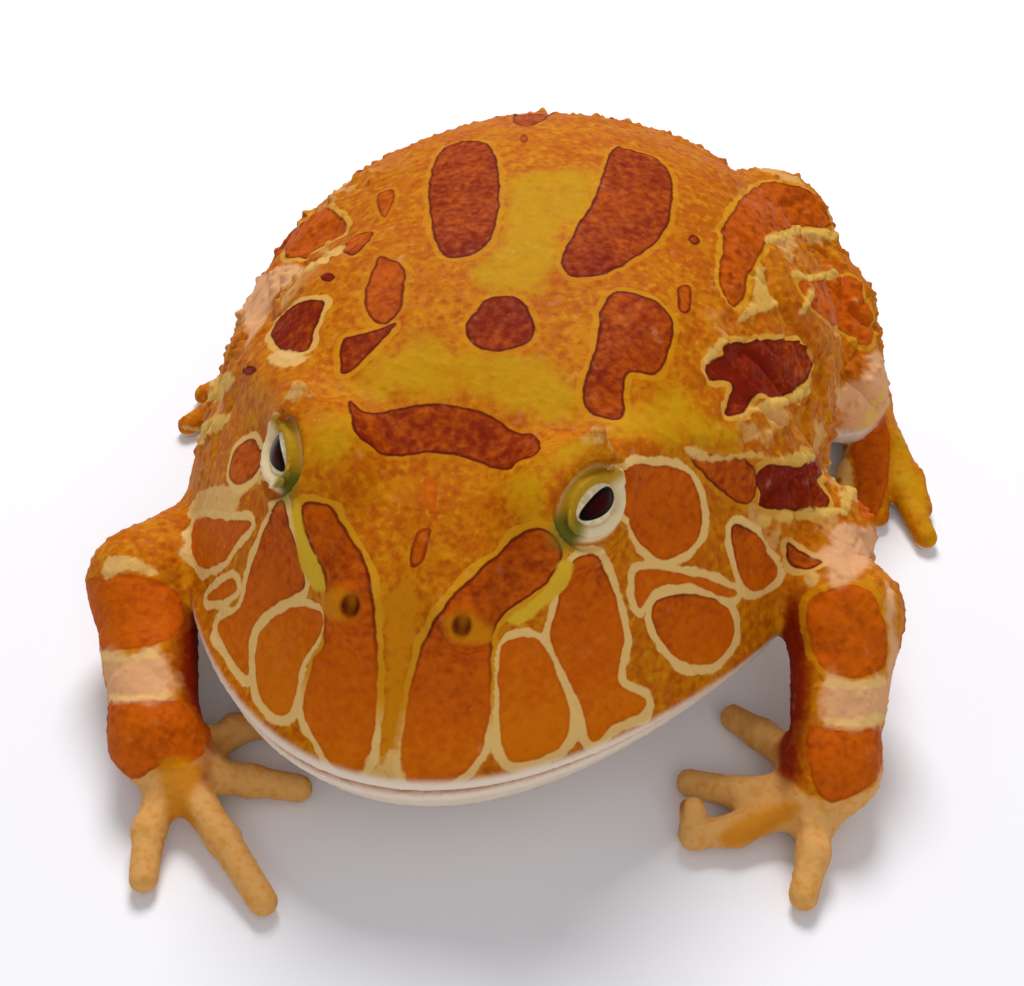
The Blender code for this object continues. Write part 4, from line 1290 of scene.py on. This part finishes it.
def make_eyeball(side, label, material):
    """Eyeball with a slightly raised cornea; the field gives 1 on the edge of the pupil."""
    points = []
    for ring in range(EYE_RINGS + 1):
        tilt = math.pi * (ring + 0.02) / (EYE_RINGS + 0.04)
        radius = EYE_RADIUS + CORNEA_RISE * math.exp(-((tilt / CORNEA_ANGLE) ** 2))
        width = radius * math.sin(tilt)
        for segment in range(EYE_SEGMENTS):
            turn = 2.0 * math.pi * segment / EYE_SEGMENTS
            points.append((width * math.cos(turn), width * math.sin(turn), radius * math.cos(tilt)))
    local = np.array(points)
    quads = []
    for ring, segment in itertools.product(range(EYE_RINGS), range(EYE_SEGMENTS)):
        following = (segment + 1) % EYE_SEGMENTS
        a, b = ring * EYE_SEGMENTS, (ring + 1) * EYE_SEGMENTS
        quads.append((a + segment, b + segment, b + following, a + following))
    frame_axes = np.stack(eye_axes(side))
    placed = local @ frame_axes + mirrored(EYE_CENTRE, side)
    quads = np.array(quads)
    if np.linalg.det(frame_axes) < 0.0:
        quads = quads[:, ::-1]
    eyeball = new_piece(f"eyeball_{label}", placed, quads)
    narrowing = PUPIL[1] * (1.0 + 0.15 * local[:, 0] / PUPIL[0])
    pupil = np.sqrt((local[:, 0] / PUPIL[0]) ** 2 + (local[:, 1] / np.maximum(narrowing, 0.3)) ** 2)
    set_field(eyeball.data, "pupil", np.where(local[:, 2] > 0.0, pupil, 9.0))
    settle(eyeball, material)
    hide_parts(f"eye_{label}")


def settle(piece, material):
    """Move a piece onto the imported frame, in metres, with its material and body."""
    piece.data.transform(Matrix.Scale(MM, 4) @ Matrix.Translation(-Vector(PLAN_MIDDLE)))
    piece.data.materials.clear()
    piece.data.materials.append(material)
    piece.data.polygons.foreach_set("use_smooth", np.ones(len(piece.data.polygons), dtype=bool))
    piece.data.update()
    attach(piece, "root")


def make_floor():
    bpy.ops.mesh.primitive_plane_add(size=FLOOR_SIZE, location=FLOOR_PLACE)
    floor = bpy.context.active_object
    floor.name = "floor"
    recipe = Recipe("floor")
    tint = recipe.mix(recipe.noise(60.0, 3.0), *FLOOR_COLOURS)
    recipe.give(recipe.shader.inputs["Base Color"], tint)
    recipe.shader.inputs["Roughness"].default_value = FLOOR_ROUGHNESS
    floor.data.materials.append(recipe.material)


def make_lights():
    world = bpy.data.worlds.new("studio")
    world.use_nodes = True
    background = world.node_tree.nodes["Background"]
    background.inputs["Color"].default_value = (*SKY_COLOUR, 1.0)
    background.inputs["Strength"].default_value = SKY_STRENGTH
    bpy.context.scene.world = world
    for name, (place, size, power) in LAMPS.items():
        light = bpy.data.lights.new(name, "AREA")
        light.shape = "DISK"
        light.size = size
        light.energy = power
        lamp = bpy.data.objects.new(name, light)
        lamp.location = place
        lamp.rotation_mode = "QUATERNION"
        lamp.rotation_quaternion = (Vector(LAMP_TARGET) - Vector(place)).to_track_quat("-Z", "Y")
        bpy.context.scene.collection.objects.link(lamp)


def make_camera():
    camera = bpy.data.cameras.new("camera")
    camera.sensor_width = SENSOR_WIDTH
    camera.lens = SENSOR_WIDTH * FOCAL_PIXELS / PHOTO_WIDTH
    camera.clip_start = 0.005
    holder = bpy.data.objects.new("camera", camera)
    bpy.context.scene.collection.objects.link(holder)
    place = Matrix.Translation(MM * Vector(CAMERA_PLACE - PLAN_MIDDLE))
    turn = Matrix([Vector(axis) for axis in camera_axes()]).transposed()
    holder.matrix_world = place @ turn.to_4x4()
    bpy.context.scene.camera = holder
    bpy.context.scene.view_settings.view_transform = "Standard"


def main():
    flesh = model_flesh()
    skin = make_skin(flesh)
    settle(skin, skin_material())
    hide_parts(*(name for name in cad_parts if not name.startswith("eye_")))
    wet = eye_material()
    for side, label in ((-1, "right"), (1, "left")):
        make_eyeball(side, label, wet)
    make_floor()
    make_lights()
    make_camera()


main()
